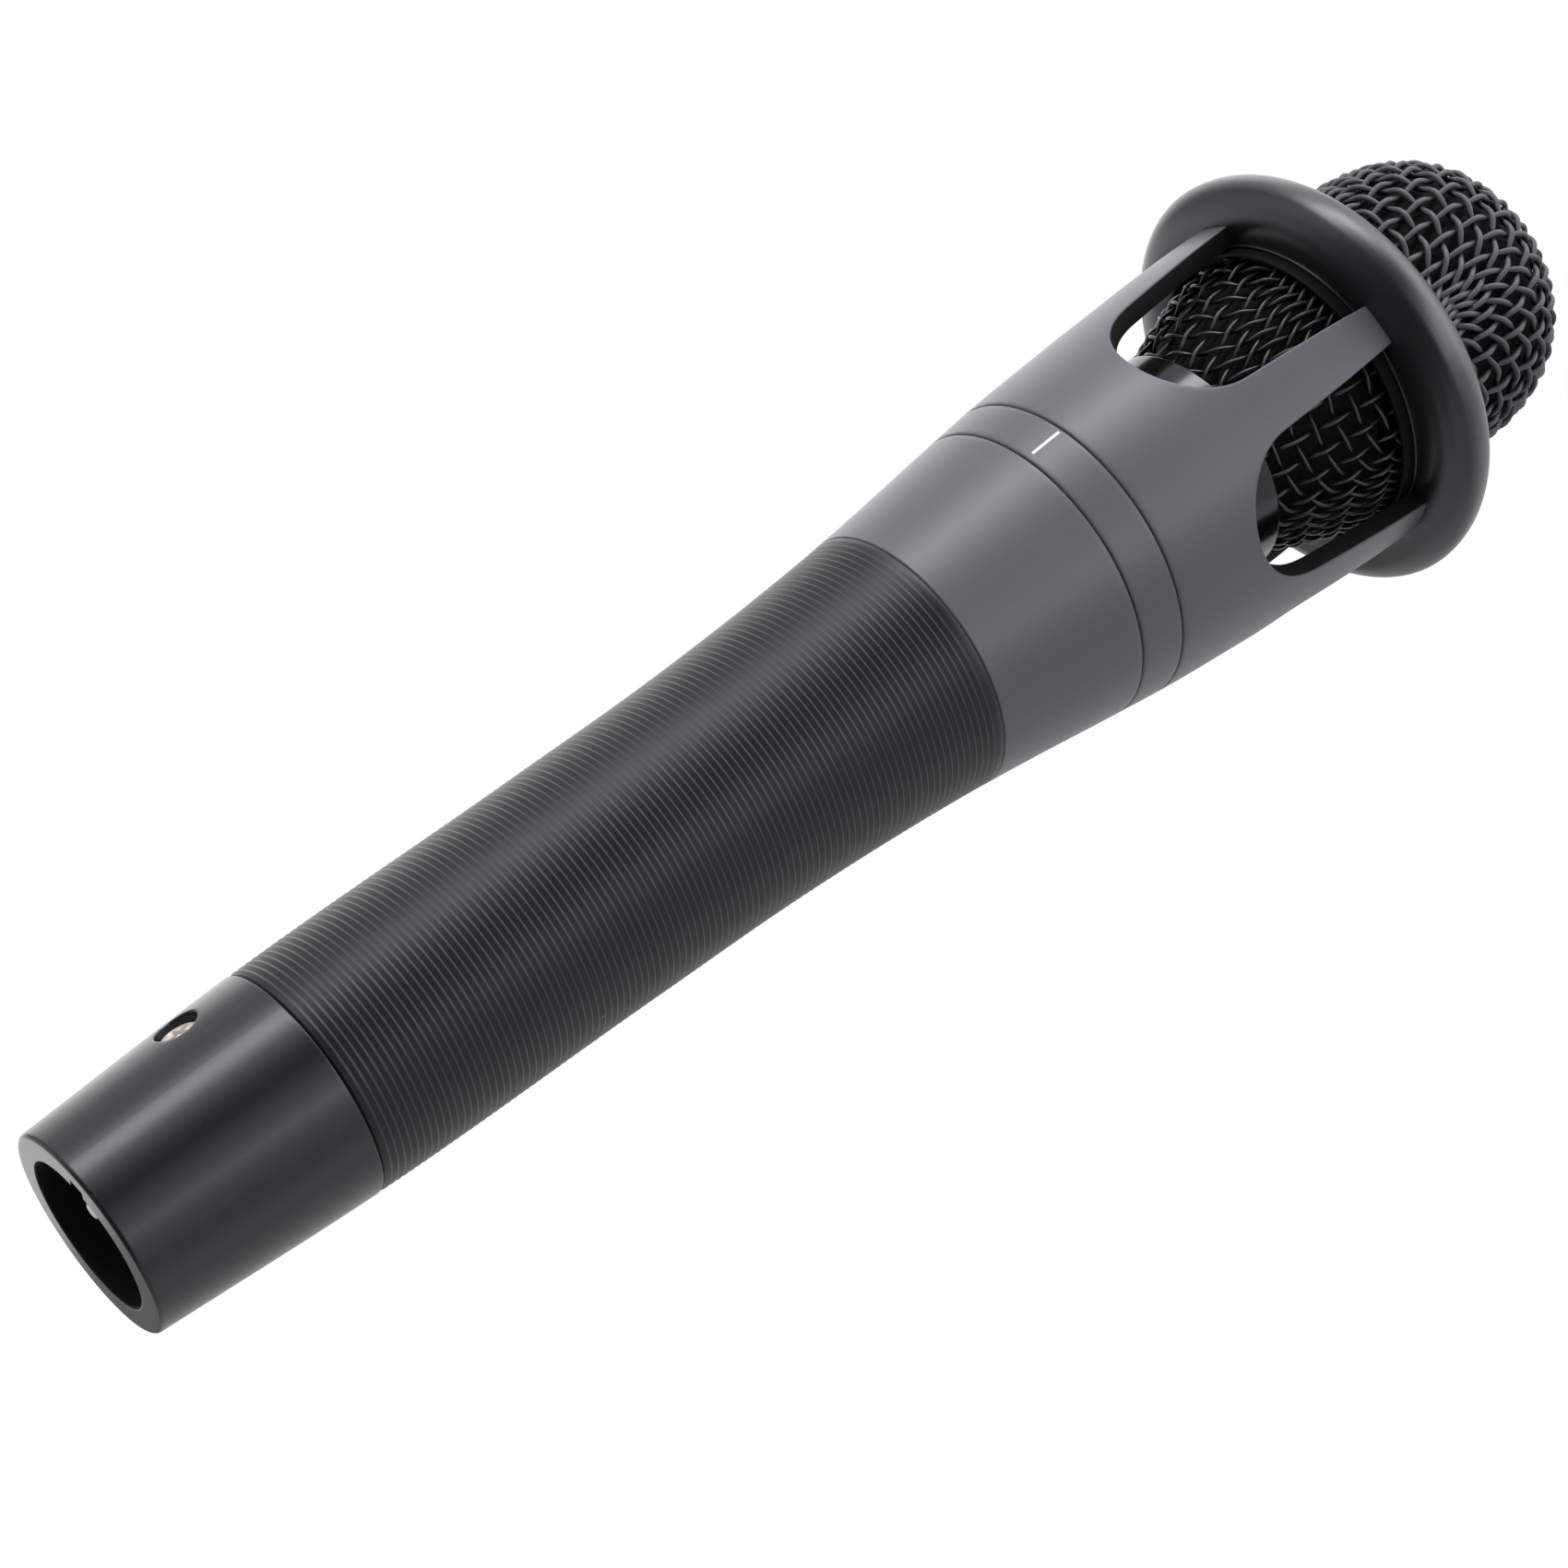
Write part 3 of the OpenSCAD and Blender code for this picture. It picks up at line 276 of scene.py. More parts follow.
# %% [markdown]
# Black and glossy things are drawn by what they mirror. In the photograph the room in front is darker than
# the white ground behind, so a dark band runs along the tail. A darker world would grey the ground too, so
# cards are set round the object as a photographer does, black in front and below, pale grey at the sides.
# They are seen only in reflections, so they neither shade the floor nor stand in any view.

# %% Cards
CARD_GRAIN, CARD_ROUGH, CARD_CONTRAST = 400.0, 0.95, 0.2
# azimuth, elevation, distance, width, height, grey
CARDS = {
    "card_front": (-17, 24, 0.55, 0.28, 0.75, 0.02),
    "card_right": (60, 24, 0.55, 0.24, 0.75, 0.75),
    "card_low": (-5, -50, 0.45, 0.8, 0.7, 0.02),
    "card_under": (-5, -80, 0.37, 0.5, 0.4, 0.02),
    "card_back": (125, 10, 0.55, 0.77, 0.77, 0.78),
    "card_tail": (172, -11, 0.9, 0.3, 0.5, 0.3),
}
for name, (azimuth, elevation, distance, width, height, level) in CARDS.items():
    place = facing_matrix(azimuth, elevation, distance)
    greys = ((1 - CARD_CONTRAST) * level, (1 + CARD_CONTRAST) * level)
    card = board(name, place, width, height, greys, CARD_GRAIN, CARD_ROUGH)
    card.visible_camera = card.visible_diffuse = False
    card.visible_shadow = card.visible_transmission = False
    card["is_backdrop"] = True
print("cards:", list(CARDS))

# %% [markdown]
# ## Finishes
# Real paint, rubber and metal are never one flat colour. Each finish here mixes two close colours with
# fine noise, lets the same noise change the roughness, and raises a small bump from it. Image textures
# could do that too, but noise in the object's own millimetres has no seams and needs no files.

# %% The finish class
PER_METRE = 1000
VIOLET = 0.12


def grey(level, tint=0.0):
    """A grey with a little violet in it."""
    return (level, level * (1 - 0.18 * tint), level * (1 + tint), 1)


class Finish(Bench):
    """A material for one slot: a Principled shader and the helpers that its nodes need."""

    def __init__(self, name, **constants):
        self.name = name
        self.material = bpy.data.materials.new(name + "_finish")
        self.material.use_nodes = True
        super().__init__(self.material.node_tree)
        self.shader = self.node("ShaderNodeBsdfPrincipled")
        self.node("ShaderNodeOutputMaterial", None, {"Surface": self.shader})
        self.place = self.node("ShaderNodeTexCoord", out="Object")
        self.wear(**constants)

    def wear(self, **sockets):
        """Sets sockets of the shader; Base_Color stands for Base Color."""
        inputs = self.shader.socket.node.inputs
        for name, item in sockets.items():
            feed(self.tree, inputs[name.replace("_", " ")], item)

    def height_mm(self):
        """Height along the upright axis."""
        return PER_METRE * self.node("ShaderNodeSeparateXYZ", None, {0: self.place}, out="Z")

    def radius_mm(self):
        """Distance from the upright axis."""
        flatten = (PER_METRE, PER_METRE, 0)
        flat = self.node("ShaderNodeVectorMath", {"operation": "MULTIPLY"}, {0: self.place, 1: flatten})
        return self.node("ShaderNodeVectorMath", {"operation": "LENGTH"}, {0: flat}, out="Value")

    def mix_painted_shade(self, mask, level, rough):
        """Mixes in a matt near-black, as painted shade, where the mask is 1."""
        shade_coat = self.node(
            "ShaderNodeBsdfPrincipled",
            None,
            {"Base Color": grey(level), "Roughness": rough, "Specular IOR Level": 0.15},
        )
        both = self.node("ShaderNodeMixShader", None, {0: mask, 1: self.shader, 2: shade_coat})
        feed(self.tree, self.tree.get_output_node("ALL").inputs["Surface"], both)

    def noise(self, size_mm, detail=2.0, rough=0.5):
        """Noise with features of about this size."""
        return self.node(
            "ShaderNodeTexNoise",
            None,
            {"Vector": self.place, "Scale": PER_METRE / size_mm, "Detail": detail, "Roughness": rough},
        )

    def cells(self, size_mm):
        """Distance to the middles of scattered cells of about this size."""
        return self.node(
            "ShaderNodeTexVoronoi", {"feature": "F1"}, {"Vector": self.place, "Scale": PER_METRE / size_mm}
        )

    def bump(self, height, depth_mm):
        return self.node(
            "ShaderNodeBump",
            None,
            {"Height": height, "Distance": depth_mm / PER_METRE, "Strength": 1.0},
            out="Normal",
        )


finishes = {}


def keep(finish):
    finishes[finish.name] = finish.material
    return finish


print("finish class ready")

# %% [markdown]
# ### Paint
# The tail, the body and the cage are cast metal under satin paint. Sprayed paint has a faint orange-peel
# skin and a fine grain from its matting powder. The grain goes into the colour, the roughness and a very
# shallow bump, and broad soft clouds keep large areas from looking printed. Inside the socket and on the
# cage's inner walls the paint is mixed towards a matt near-black: this is painted shade, for the recess
# and the walls that lie in shade. A second material could give that, but a mask by radius needs no extra
# faces.

# %% Painted metal
COOL = (0.94, 0.925, 1.0, 1)


def paint(slot, dark, pale, rough, grain_mm, peel_um, specular=0.5):
    """Satin paint between two greys, with grain in millimetres and orange peel in microns."""
    f = Finish(slot, Specular_IOR_Level=specular, Specular_Tint=COOL)
    f.grain = f.noise(grain_mm, 3.0)
    cloud = f.noise(18, 2.0)
    peel = f.noise(1.1, 1.0)
    f.wear(
        Base_Color=f.mix(0.65 * f.grain + 0.35 * cloud, grey(dark, VIOLET), grey(pale, VIOLET)),
        Roughness=rough - 0.05 + 0.1 * f.grain + 0.04 * cloud,
        Normal=f.bump(0.7 * peel + 0.3 * f.grain, peel_um / 1000),
    )
    return keep(f)


SOCKET_SHADE, FACE_EDGE = (8.35, 8.5), (0.02, 0.1)
tail = paint("tail_black", 0.008, 0.013, 0.3, 0.3, 3.5)
# Painted shade: inside these radii the socket's bore turns matt near-black.
tail.mix_painted_shade(1 - tail.step(tail.radius_mm(), *SOCKET_SHADE), 0.004, 0.8)
end_face = 1 - tail.step(tail.height_mm(), *FACE_EDGE)
tail.wear(Roughness=0.27 - 0.1 * end_face + 0.07 * tail.grain)

# The cage's outer radius as powers of the height above its floor, to find the depth in its wall
CAGE_BASE, CAGE_CURVE = 138, (19.223, 0.07602, 0.001149, -0.00006)
body = paint("body_grey", 0.078, 0.106, 0.40, 0.22, 2.5)
up_mm = body.height_mm() - CAGE_BASE
cage_mm = CAGE_CURVE[-1]
for share in CAGE_CURVE[-2::-1]:
    cage_mm = share + up_mm * cage_mm
wall_mm = cage_mm - body.radius_mm()
# Painted shade: above the cage's floor, points deeper than about 0.1 to 0.25 mm in the wall turn matt
# near-black.
body.mix_painted_shade(body.step(up_mm, -0.2, 0.0) * body.step(wall_mm, 0.1, 0.25), 0.008, 0.7)
paint("ring_black", 0.007, 0.011, 0.34, 0.3, 2.0, specular=0.8)
paint("cap_black", 0.03, 0.045, 0.4, 0.3, 2.0)
print("painted slots:", sorted(finishes))

# %% [markdown]
# ### Rubber, gloss and moulded plastic
# The grip is soft rubber with a dry bloom and a few specks of lint, which are scattered cells cut down to
# their middles. The collar under the grille is the one glossy piece. The insert that holds the pins, the
# leads and the cradle are plain mouldings. They could share one shader with other colours, and nearly do:
# one function makes them all, because only colour, roughness and grain tell them apart.


# %% Rubber and plastics
def rubber(slot, dark, pale, rough, lint):
    """Rubber between two greys; lint is how strongly its specks show."""
    f = Finish(slot, Specular_IOR_Level=0.4, Specular_Tint=COOL)
    grain = f.noise(0.12, 3.0)
    bloom = f.noise(9, 3.0, 0.6)
    speck = 1 - f.step(f.cells(7.0), 0.0, 0.035)
    shade = f.mix(0.5 * grain + 0.5 * bloom, grey(dark, VIOLET), grey(pale, VIOLET))
    f.wear(
        Base_Color=f.mix(lint * speck, shade, grey(0.35)),
        Roughness=rough - 0.06 + 0.12 * grain + 0.06 * bloom,
        Normal=f.bump(grain, 0.012),
    )
    keep(f)


def moulding(slot, low, high, rough, grain_mm, bump_um):
    """Moulded plastic between two colours, with grain in millimetres and its bump in microns."""
    f = Finish(slot, Specular_Tint=COOL)
    grain = f.noise(grain_mm, 2.0)
    flow = f.noise(6, 3.0)
    f.wear(
        Base_Color=f.mix(0.5 * grain + 0.5 * flow, (*low, 1), (*high, 1)),
        Roughness=rough - 0.04 + 0.08 * grain,
        Normal=f.bump(grain, bump_um / 1000),
    )
    keep(f)


rubber("grip_rubber", 0.005, 0.008, 0.4, 0.5)
rubber("shock_rubber", 0.012, 0.02, 0.6, 0.2)
moulding("collar_black", (0.003, 0.003, 0.0034), (0.006, 0.006, 0.0065), 0.18, 0.4, 0.6)
moulding("insert_plastic", (0.008, 0.008, 0.0085), (0.013, 0.013, 0.0135), 0.5, 0.2, 4.0)
moulding("cradle_plastic", (0.62, 0.57, 0.46), (0.72, 0.68, 0.57), 0.45, 0.2, 4.0)
moulding("lead_sleeve", (0.42, 0.07, 0.045), (0.52, 0.1, 0.06), 0.35, 0.3, 2.0)
moulding("film_clear", (0.6, 0.54, 0.36), (0.72, 0.66, 0.46), 0.18, 0.5, 1.0)
moulding("board_brown", (0.26, 0.15, 0.05), (0.38, 0.24, 0.09), 0.5, 0.35, 6.0)
print("finishes so far:", len(finishes))

# %% [markdown]
# ### Bare metal, foam and felt
# Pins, screw and capsule parts are turned or rolled metal. Turning leaves rings a fraction of a millimetre
# wide. They could be modelled, but nobody sees their outline, so thin bands along the axis change the
# roughness and raise a faint bump. Foam is a field of open cells, and felt is a mat of short fibres. Both
# come from the same two noises, with larger cells for the foam.


# %% Metals and soft stuff
def metal(slot, low, high, rough, ring_mm=0.12, metallic=1.0):
    """Turned metal between two colours, with its rings in millimetres."""
    f = Finish(slot, Metallic=metallic)
    smear = f.noise(2.5, 4.0, 0.6)
    rings = f.node(
        "ShaderNodeTexWave",
        {"wave_type": "BANDS", "bands_direction": "Z"},
        {"Vector": f.place, "Scale": 160 / ring_mm, "Distortion": 1.5, "Detail": 2.0},
        out=1,
    )
    f.wear(
        Base_Color=f.mix(smear, (*low, 1), (*high, 1)),
        Roughness=rough - 0.05 + 0.06 * rings + 0.08 * smear,
        Normal=f.bump(rings, 0.002),
    )
    keep(f)


def open_cells(slot, low, high, cell_mm, depth_mm):
    """Foam or felt between two colours, with cells in millimetres."""
    f = Finish(slot, Roughness=0.95, Specular_IOR_Level=0.2)
    pores = f.cells(cell_mm)
    fuzz = f.noise(cell_mm / 2, 3.0)
    f.wear(
        Base_Color=f.mix(0.6 * pores + 0.4 * fuzz, (*low, 1), (*high, 1)),
        Normal=f.bump(pores + 0.5 * fuzz, depth_mm),
    )
    keep(f)


metal("contact_silver", (0.66, 0.64, 0.58), (0.82, 0.8, 0.75), 0.25)
metal("screw_steel", (0.58, 0.53, 0.51), (0.72, 0.68, 0.66), 0.5, metallic=0.4)
metal("thread_brass", (0.5, 0.38, 0.16), (0.64, 0.5, 0.24), 0.3)
metal("plain_alloy", (0.5, 0.5, 0.51), (0.62, 0.62, 0.63), 0.35)
metal("soft_iron", (0.3, 0.3, 0.31), (0.42, 0.42, 0.43), 0.4)
metal("magnet_metal", (0.52, 0.52, 0.53), (0.66, 0.66, 0.67), 0.25)
metal("copper_wire", (0.48, 0.2, 0.07), (0.66, 0.31, 0.12), 0.35, 0.2)
metal("core_iron", (0.2, 0.2, 0.21), (0.3, 0.3, 0.31), 0.45, 0.35)
open_cells("foam_black", (0.003, 0.003, 0.0032), (0.007, 0.007, 0.0075), 0.5, 0.12)
open_cells("felt_white", (0.58, 0.55, 0.47), (0.72, 0.69, 0.61), 0.15, 0.05)
print("finishes:", len(finishes))

# %% [markdown]
# ## Shapes from grids of points
# Nearly every piece is a sheet of points in rows and columns: a turned part is a profile carried round the
# axis, and a window's edge is a few rows that bend from the outside to the inside. Modifiers could turn and
# bevel these shapes, but points worked out in millimetres land exactly where the solids are.

# %% Sheets into meshes
MM = 0.001


def sheet_faces(rows, columns, closed_rows, closed_columns):
    index = np.arange(rows * columns).reshape(rows, columns)
    if closed_rows:
        index = np.vstack((index, index[:1]))
    if closed_columns:
        index = np.hstack((index, index[:, :1]))
    return np.stack((index[:-1, :-1], index[:-1, 1:], index[1:, 1:], index[1:, :-1]), axis=-1).reshape(-1, 4)


def make_piece(name, sheets, slot, body, replaced=(), sharp=35.0, finish=None, weld=2e-6):
    """Joins sheets of points in millimetres into one welded piece that rides on a body."""
    points, faces, start = [], [], 0
    for sheet, closed_rows, closed_columns in sheets:
        rows, columns = sheet.shape[:2]
        points.append(sheet.reshape(-1, 3) * MM)
        faces.append(sheet_faces(rows, columns, closed_rows, closed_columns) + start)
        start += rows * columns
    mesh = bpy.data.meshes.new(name)
    mesh.from_pydata(np.vstack(points).tolist(), [], np.vstack(faces).tolist())
    work = bmesh.new()
    work.from_mesh(mesh)
    bmesh.ops.remove_doubles(work, verts=work.verts, dist=weld)
    bmesh.ops.dissolve_degenerate(work, edges=work.edges, dist=weld / 2)
    bmesh.ops.recalc_face_normals(work, faces=work.faces)
    work.to_mesh(mesh)
    work.free()
    mesh.shade_smooth()
    mesh.set_sharp_from_angle(angle=math.radians(sharp))
    mesh.materials.append(finish or finishes[slot])
    piece = bpy.data.objects.new(name, mesh)
    scene.collection.objects.link(piece)
    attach(piece, body)
    if replaced:
        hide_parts(*replaced)
    print(name, "has", len(mesh.polygons), "faces")
    return piece


def round_sheet(rows):
    """Rows that each close into a ring."""
    return np.array(rows), False, True


def flat_sheet(rows):
    """Rows with four open sides."""
    return np.array(rows), False, False


print("sheets are drawn in units of", MM, "m")


# %% Profiles and turning
def rounded(corners, steps=5):
    """A profile from corners (r, z) or (r, z, rounding): each rounded corner becomes a short arc."""
    out = []
    count = len(corners)
    for k, corner in enumerate(corners):
        here = np.array(corner[:2], float)
        size = corner[2] if len(corner) > 2 else 0
        if not size:
            out.append(here)
            continue
        before = np.array(corners[k - 1][:2], float) - here
        after = np.array(corners[(k + 1) % count][:2], float) - here
        before_len, after_len = np.linalg.norm(before), np.linalg.norm(after)
        reach = min(size, 0.45 * before_len, 0.45 * after_len)
        first, last = here + before / before_len * reach, here + after / after_len * reach
        for t in np.linspace(0, 1, steps + 1):
            out.append((1 - t) ** 2 * first + 2 * t * (1 - t) * here + t**2 * last)
    return np.array(out)


def arc(centre, across, up, start, end, steps=12):
    a = np.radians(np.linspace(start, end, steps + 1))
    return [(centre[0] + across * math.cos(t), centre[1] + up * math.sin(t)) for t in a]


SIDES = 180


def turned(profile, sides=SIDES, centre=(0.0, 0.0)):
    """A closed profile carried round an upright axis."""
    profile = np.asarray(profile, float)
    turn = np.radians(np.arange(sides) * 360 / sides)
    r, z = profile[:, 0][:, None], profile[:, 1][:, None]
    sheet = np.stack(
        (centre[0] + r * np.sin(turn), centre[1] - r * np.cos(turn), z + 0 * turn), axis=-1
    )
    return sheet, True, True


print("turning helper ready")

# %% [markdown]
# ## The outline of the body
# Tail, grip, body and cage share one smooth outline that swells towards the head. It is a curve through
# ten stations with matched slopes, so the separate pieces meet flush, as they do on the real object.

# %% Outline
Z_TAIL, Z_GRIP, Z_NECK, Z_BAND, Z_SPIGOT = 25.1, 105.0, 123.07, 128.41, 134.41
Z_CAGE, Z_FLOOR, Z_RING_LOW, Z_RING = 128.63, 137.51, 165.05, 167.76
STATIONS = np.array(
    [
        (0, 11.3), (Z_TAIL, 12.75), (60.016, 13.26), (79.991, 13.68), (Z_GRIP, 15.45), (Z_NECK, 17.7),
        (Z_BAND, 18.36), (140.01, 19.38), (Z_RING_LOW, 20.93), (Z_RING, 20.93),
    ]
)
span = np.diff(STATIONS[:, 0])
rise = np.diff(STATIONS[:, 1]) / span
inner_slopes = (span[1:] * rise[:-1] + span[:-1] * rise[1:]) / (span[:-1] + span[1:])
SLOPES = np.concatenate((rise[:1], inner_slopes, rise[-1:]))


def outline(z):
    """Outer radius at a height, for one height or many."""
    z = np.asarray(z, float)
    i = np.clip(np.searchsorted(STATIONS[:, 0], z, side="right") - 1, 0, len(span) - 1)
    h = span[i]
    t = (z - STATIONS[i, 0]) / h
    return (
        (2 * t**3 - 3 * t**2 + 1) * STATIONS[i, 1]
        + (t**3 - 2 * t**2 + t) * h * SLOPES[i]
        + (3 * t**2 - 2 * t**3) * STATIONS[i + 1, 1]
        + (t**3 - t**2) * h * SLOPES[i + 1]
    )


def along(low, high, step, inwards=0.0):
    """Points of the outline between two heights."""
    z = np.linspace(low, high, max(2, int(round(abs(high - low) / step)) + 1))
    return [(r - inwards, height) for r, height in zip(outline(z), z)]


def skin(z, inwards=0.0):
    """Radius at one height, at a depth under the outline."""
    return float(outline(z)) - inwards


print("outline at the grip's top:", skin(Z_GRIP))

# %% [markdown]
# ## The tail
# The tail is a cast shell round the cable socket. Seen from its end it is a flat ring, with a keyway and a
# small lug in the bore, and a round recess in its side sinks the screw. A boolean could cut these, but it
# leaves long thin faces that shade badly. Instead the columns bend into the keyway, and a square patch of
# the wall is laid again as rings that close in on the recess.

# %% Columns that bend into the keyway
SOCKET_R, SOCKET_DEPTH, INSERT_TOP, WIRE_BORE = 8.15, 14.0, 22.6, 6.8
KEY_AZ, KEY_HALF, KEY_FLOOR, KEY_LEN = -26.0, 0.95, 9.15, 9.0
SCREW_AZ, SCREW_Z, RECESS_R, RECESS_FLOOR = -68.0, 17.2, 2.35, 9.55
NECK_R, NECK_TOP = 9.98, 33.1
TAIL_SIDES = 192

key_edge = math.degrees(math.asin(KEY_HALF / SOCKET_R))
plain_turn = np.arange(TAIL_SIDES) * 360 / TAIL_SIDES + SCREW_AZ
away = (plain_turn - KEY_AZ + 180) % 360 - 180
key_columns = np.where(np.abs(away) < key_edge)[0]
key_place = np.linspace(-1, 1, len(key_columns))
tail_turn = plain_turn.copy()
tail_turn[key_columns[0] - 1] = KEY_AZ - key_edge
tail_turn[key_columns[-1] + 1] = KEY_AZ + key_edge


def polar(azimuth, r, z):
    a = np.radians(azimuth)
    return np.stack(np.broadcast_arrays(r * np.sin(a), -r * np.cos(a), z), axis=-1)


def tail_row(r, z, keyed=False, key_floor=KEY_FLOOR):
    azimuth, radius = tail_turn.copy(), np.full(TAIL_SIDES, float(r))
    if keyed:
        across = key_place * KEY_HALF
        azimuth[key_columns] = KEY_AZ + np.degrees(np.arctan2(across, key_floor))
        radius[key_columns] = np.hypot(across, key_floor)
    return polar(azimuth, radius, z)


print("keyway columns:", len(key_columns))

# %% The tail's shell, with a square left open for the recess
EDGE_ROUND, TOP_ROUND, ROUND_GAP = 0.45, 0.2, 0.25
PATCH_HALF, PATCH_STEPS, PATCH_COLUMNS = 3.6, 16, 9
PATCH_LOW, PATCH_HIGH = SCREW_Z - PATCH_HALF, SCREW_Z + PATCH_HALF
edge_centre = (skin(EDGE_ROUND, EDGE_ROUND), EDGE_ROUND)
top_centre = (skin(Z_TAIL, TOP_ROUND), Z_TAIL - TOP_ROUND)
below = along(EDGE_ROUND + ROUND_GAP, PATCH_LOW, 1.0)
beside = along(PATCH_LOW, PATCH_HIGH, (PATCH_HIGH - PATCH_LOW) / PATCH_STEPS)
above = along(PATCH_HIGH, Z_TAIL - TOP_ROUND - ROUND_GAP, 0.6)
mouth = [
    tail_row(NECK_R, NECK_TOP), tail_row(WIRE_BORE, NECK_TOP), tail_row(WIRE_BORE, INSERT_TOP),
    tail_row(SOCKET_R, INSERT_TOP), tail_row(SOCKET_R, KEY_LEN), tail_row(SOCKET_R, KEY_LEN, True),
]
# The mouth's edge: how far it widens, its depth, and how far the keyway's floor moves out
MOUTH_EDGE = ((0.0, 0.35, 0.0), (0.08, 0.12, 0.08), (0.3, 0.0, 0.25), (0.36, 0.0, 0.31))
mouth += [tail_row(SOCKET_R + wider, z, True, KEY_FLOOR + out) for wider, z, out in MOUTH_EDGE]
mouth += [tail_row(edge_centre[0] - 0.1, 0.0)]
skirt = [tail_row(r, z) for r, z in arc(edge_centre, EDGE_ROUND, EDGE_ROUND, -90, 0, 8) + below]
wall = [tail_row(r, z) for r, z in beside]
cap = [tail_row(r, z) for r, z in above + arc(top_centre, TOP_ROUND, TOP_ROUND, 0, 90, 6)]
cap += [tail_row(NECK_R, Z_TAIL), tail_row(NECK_R, NECK_TOP)]
open_wall = np.roll(np.array(wall), -PATCH_COLUMNS, axis=1)[:, : TAIL_SIDES - 2 * PATCH_COLUMNS + 1]
print("tail rows:", len(mouth) + len(skirt) + len(wall) + len(cap))

# %% The recess as rings inside the square
local_turn = np.radians(tail_turn - SCREW_AZ)
square = np.arange(-PATCH_COLUMNS, PATCH_COLUMNS + 1)
heights = np.array([z for r, z in beside])
radii = np.array([r for r, z in beside])
border = (
    [(c, 0) for c in square[:-1]] + [(PATCH_COLUMNS, k) for k in range(PATCH_STEPS)]
    + [(c, PATCH_STEPS) for c in square[:0:-1]] + [(-PATCH_COLUMNS, k) for k in range(PATCH_STEPS, 0, -1)]
)
border_flat = np.array([(radii[k] * math.sin(local_turn[c]), heights[k]) for c, k in border])
spokes = border_flat - (0, SCREW_Z)
spokes = spokes / np.linalg.norm(spokes, axis=1)[:, None]
screw_out, screw_side = polar(SCREW_AZ, 1.0, 0.0), polar(SCREW_AZ + 90, 1.0, 0.0)


def on_recess_axis(flat, depth):
    """Points at (across, height) and a distance from the axis along the screw's direction."""
    depth = np.broadcast_to(depth, flat.shape[:1])
    return flat[:, :1] * screw_side + depth[:, None] * screw_out + flat[:, 1:] * np.array((0, 0, 1.0))


def on_wall(flat):
    return np.sqrt(outline(flat[:, 1]) ** 2 - flat[:, 0] ** 2)


RECESS_ROUND = 0.2
rings = []
lip = (0, SCREW_Z) + spokes * (RECESS_R + RECESS_ROUND)
for t in np.linspace(0, 1, 6):
    flat = (1 - t) * border_flat + t * lip
    rings.append(on_recess_axis(flat, on_wall(flat)))
for t in np.radians((30, 60, 90)):
    flat = (0, SCREW_Z) + spokes * (RECESS_R + RECESS_ROUND * (1 - math.sin(t)))
    rings.append(on_recess_axis(flat, on_wall(flat) - RECESS_ROUND * (1 - math.cos(t))))
for r in (RECESS_R, 1.5, 0.0):
    rings.append(on_recess_axis((0, SCREW_Z) + spokes * r, RECESS_FLOOR))
make_piece(
    "tail_shell",
    [round_sheet(mouth + skirt), flat_sheet(open_wall), round_sheet([wall[-1]] + cap), round_sheet(rings)],
    "tail_black", "handle", ["connector_housing"],
)

# %% [markdown]
# ## Screw, pins and lug
# The screw holds the insert. Its head is a flat disc with a cross recess. Two crossed bars could cut it, but
# here rings change from a circle to a cross and then sink, so the head stays one clean sheet. The pins are
# turned with round tips. The lug in the socket is a bare metal peg, and is turned too.

# %% The screw
HEAD_R, HEAD_TOP, SHANK_R, SHANK_END, SCREW_SEAT = 2.1, 11.5, 1.25, 6.15, RECESS_FLOOR + 0.02
CROSS_HALF, CROSS_REACH, CROSS_DEPTH, CROSS_ROLL = 0.36, 1.4, 0.75, 20
cross_corner = math.degrees(math.atan2(CROSS_HALF, CROSS_REACH))
arm = [-45, -32, -22, -cross_corner, -cross_corner / 2, 0, cross_corner / 2, cross_corner, 22, 32]
cross_turn = np.radians([a + 90 * k for k in range(4) for a in arm])
arm_turn = np.radians(np.tile(arm, 4))


def cross(scale):
    """Radius of the cross recess at each direction."""
    reach = CROSS_REACH / np.cos(arm_turn)
    flank = CROSS_HALF / np.maximum(np.abs(np.sin(arm_turn)), 1e-6)
    return scale * np.minimum(reach, flank)


def screw_ring(r, depth):
    turn = cross_turn + math.radians(CROSS_ROLL)
    flat = np.column_stack((r * np.cos(turn), SCREW_Z + r * np.sin(turn)))
    return on_recess_axis(flat, depth)


screw_steps = (
    (0 * cross_turn, SHANK_END), (SHANK_R, SHANK_END), (SHANK_R, SCREW_SEAT), (HEAD_R, SCREW_SEAT),
    (HEAD_R, HEAD_TOP - 0.3), (HEAD_R - 0.06, HEAD_TOP - 0.1), (HEAD_R - 0.25, HEAD_TOP),
    (cross(1.03), HEAD_TOP + 0.05), (cross(1.0), HEAD_TOP), (cross(0.72), HEAD_TOP - CROSS_DEPTH),
    (0 * cross_turn, HEAD_TOP - 1.15 * CROSS_DEPTH),
)
screw_rings = [screw_ring(r, depth) for r, depth in screw_steps]
make_piece("tail_screw", [round_sheet(screw_rings)], "screw_steel", "handle", ["connector_screw"])

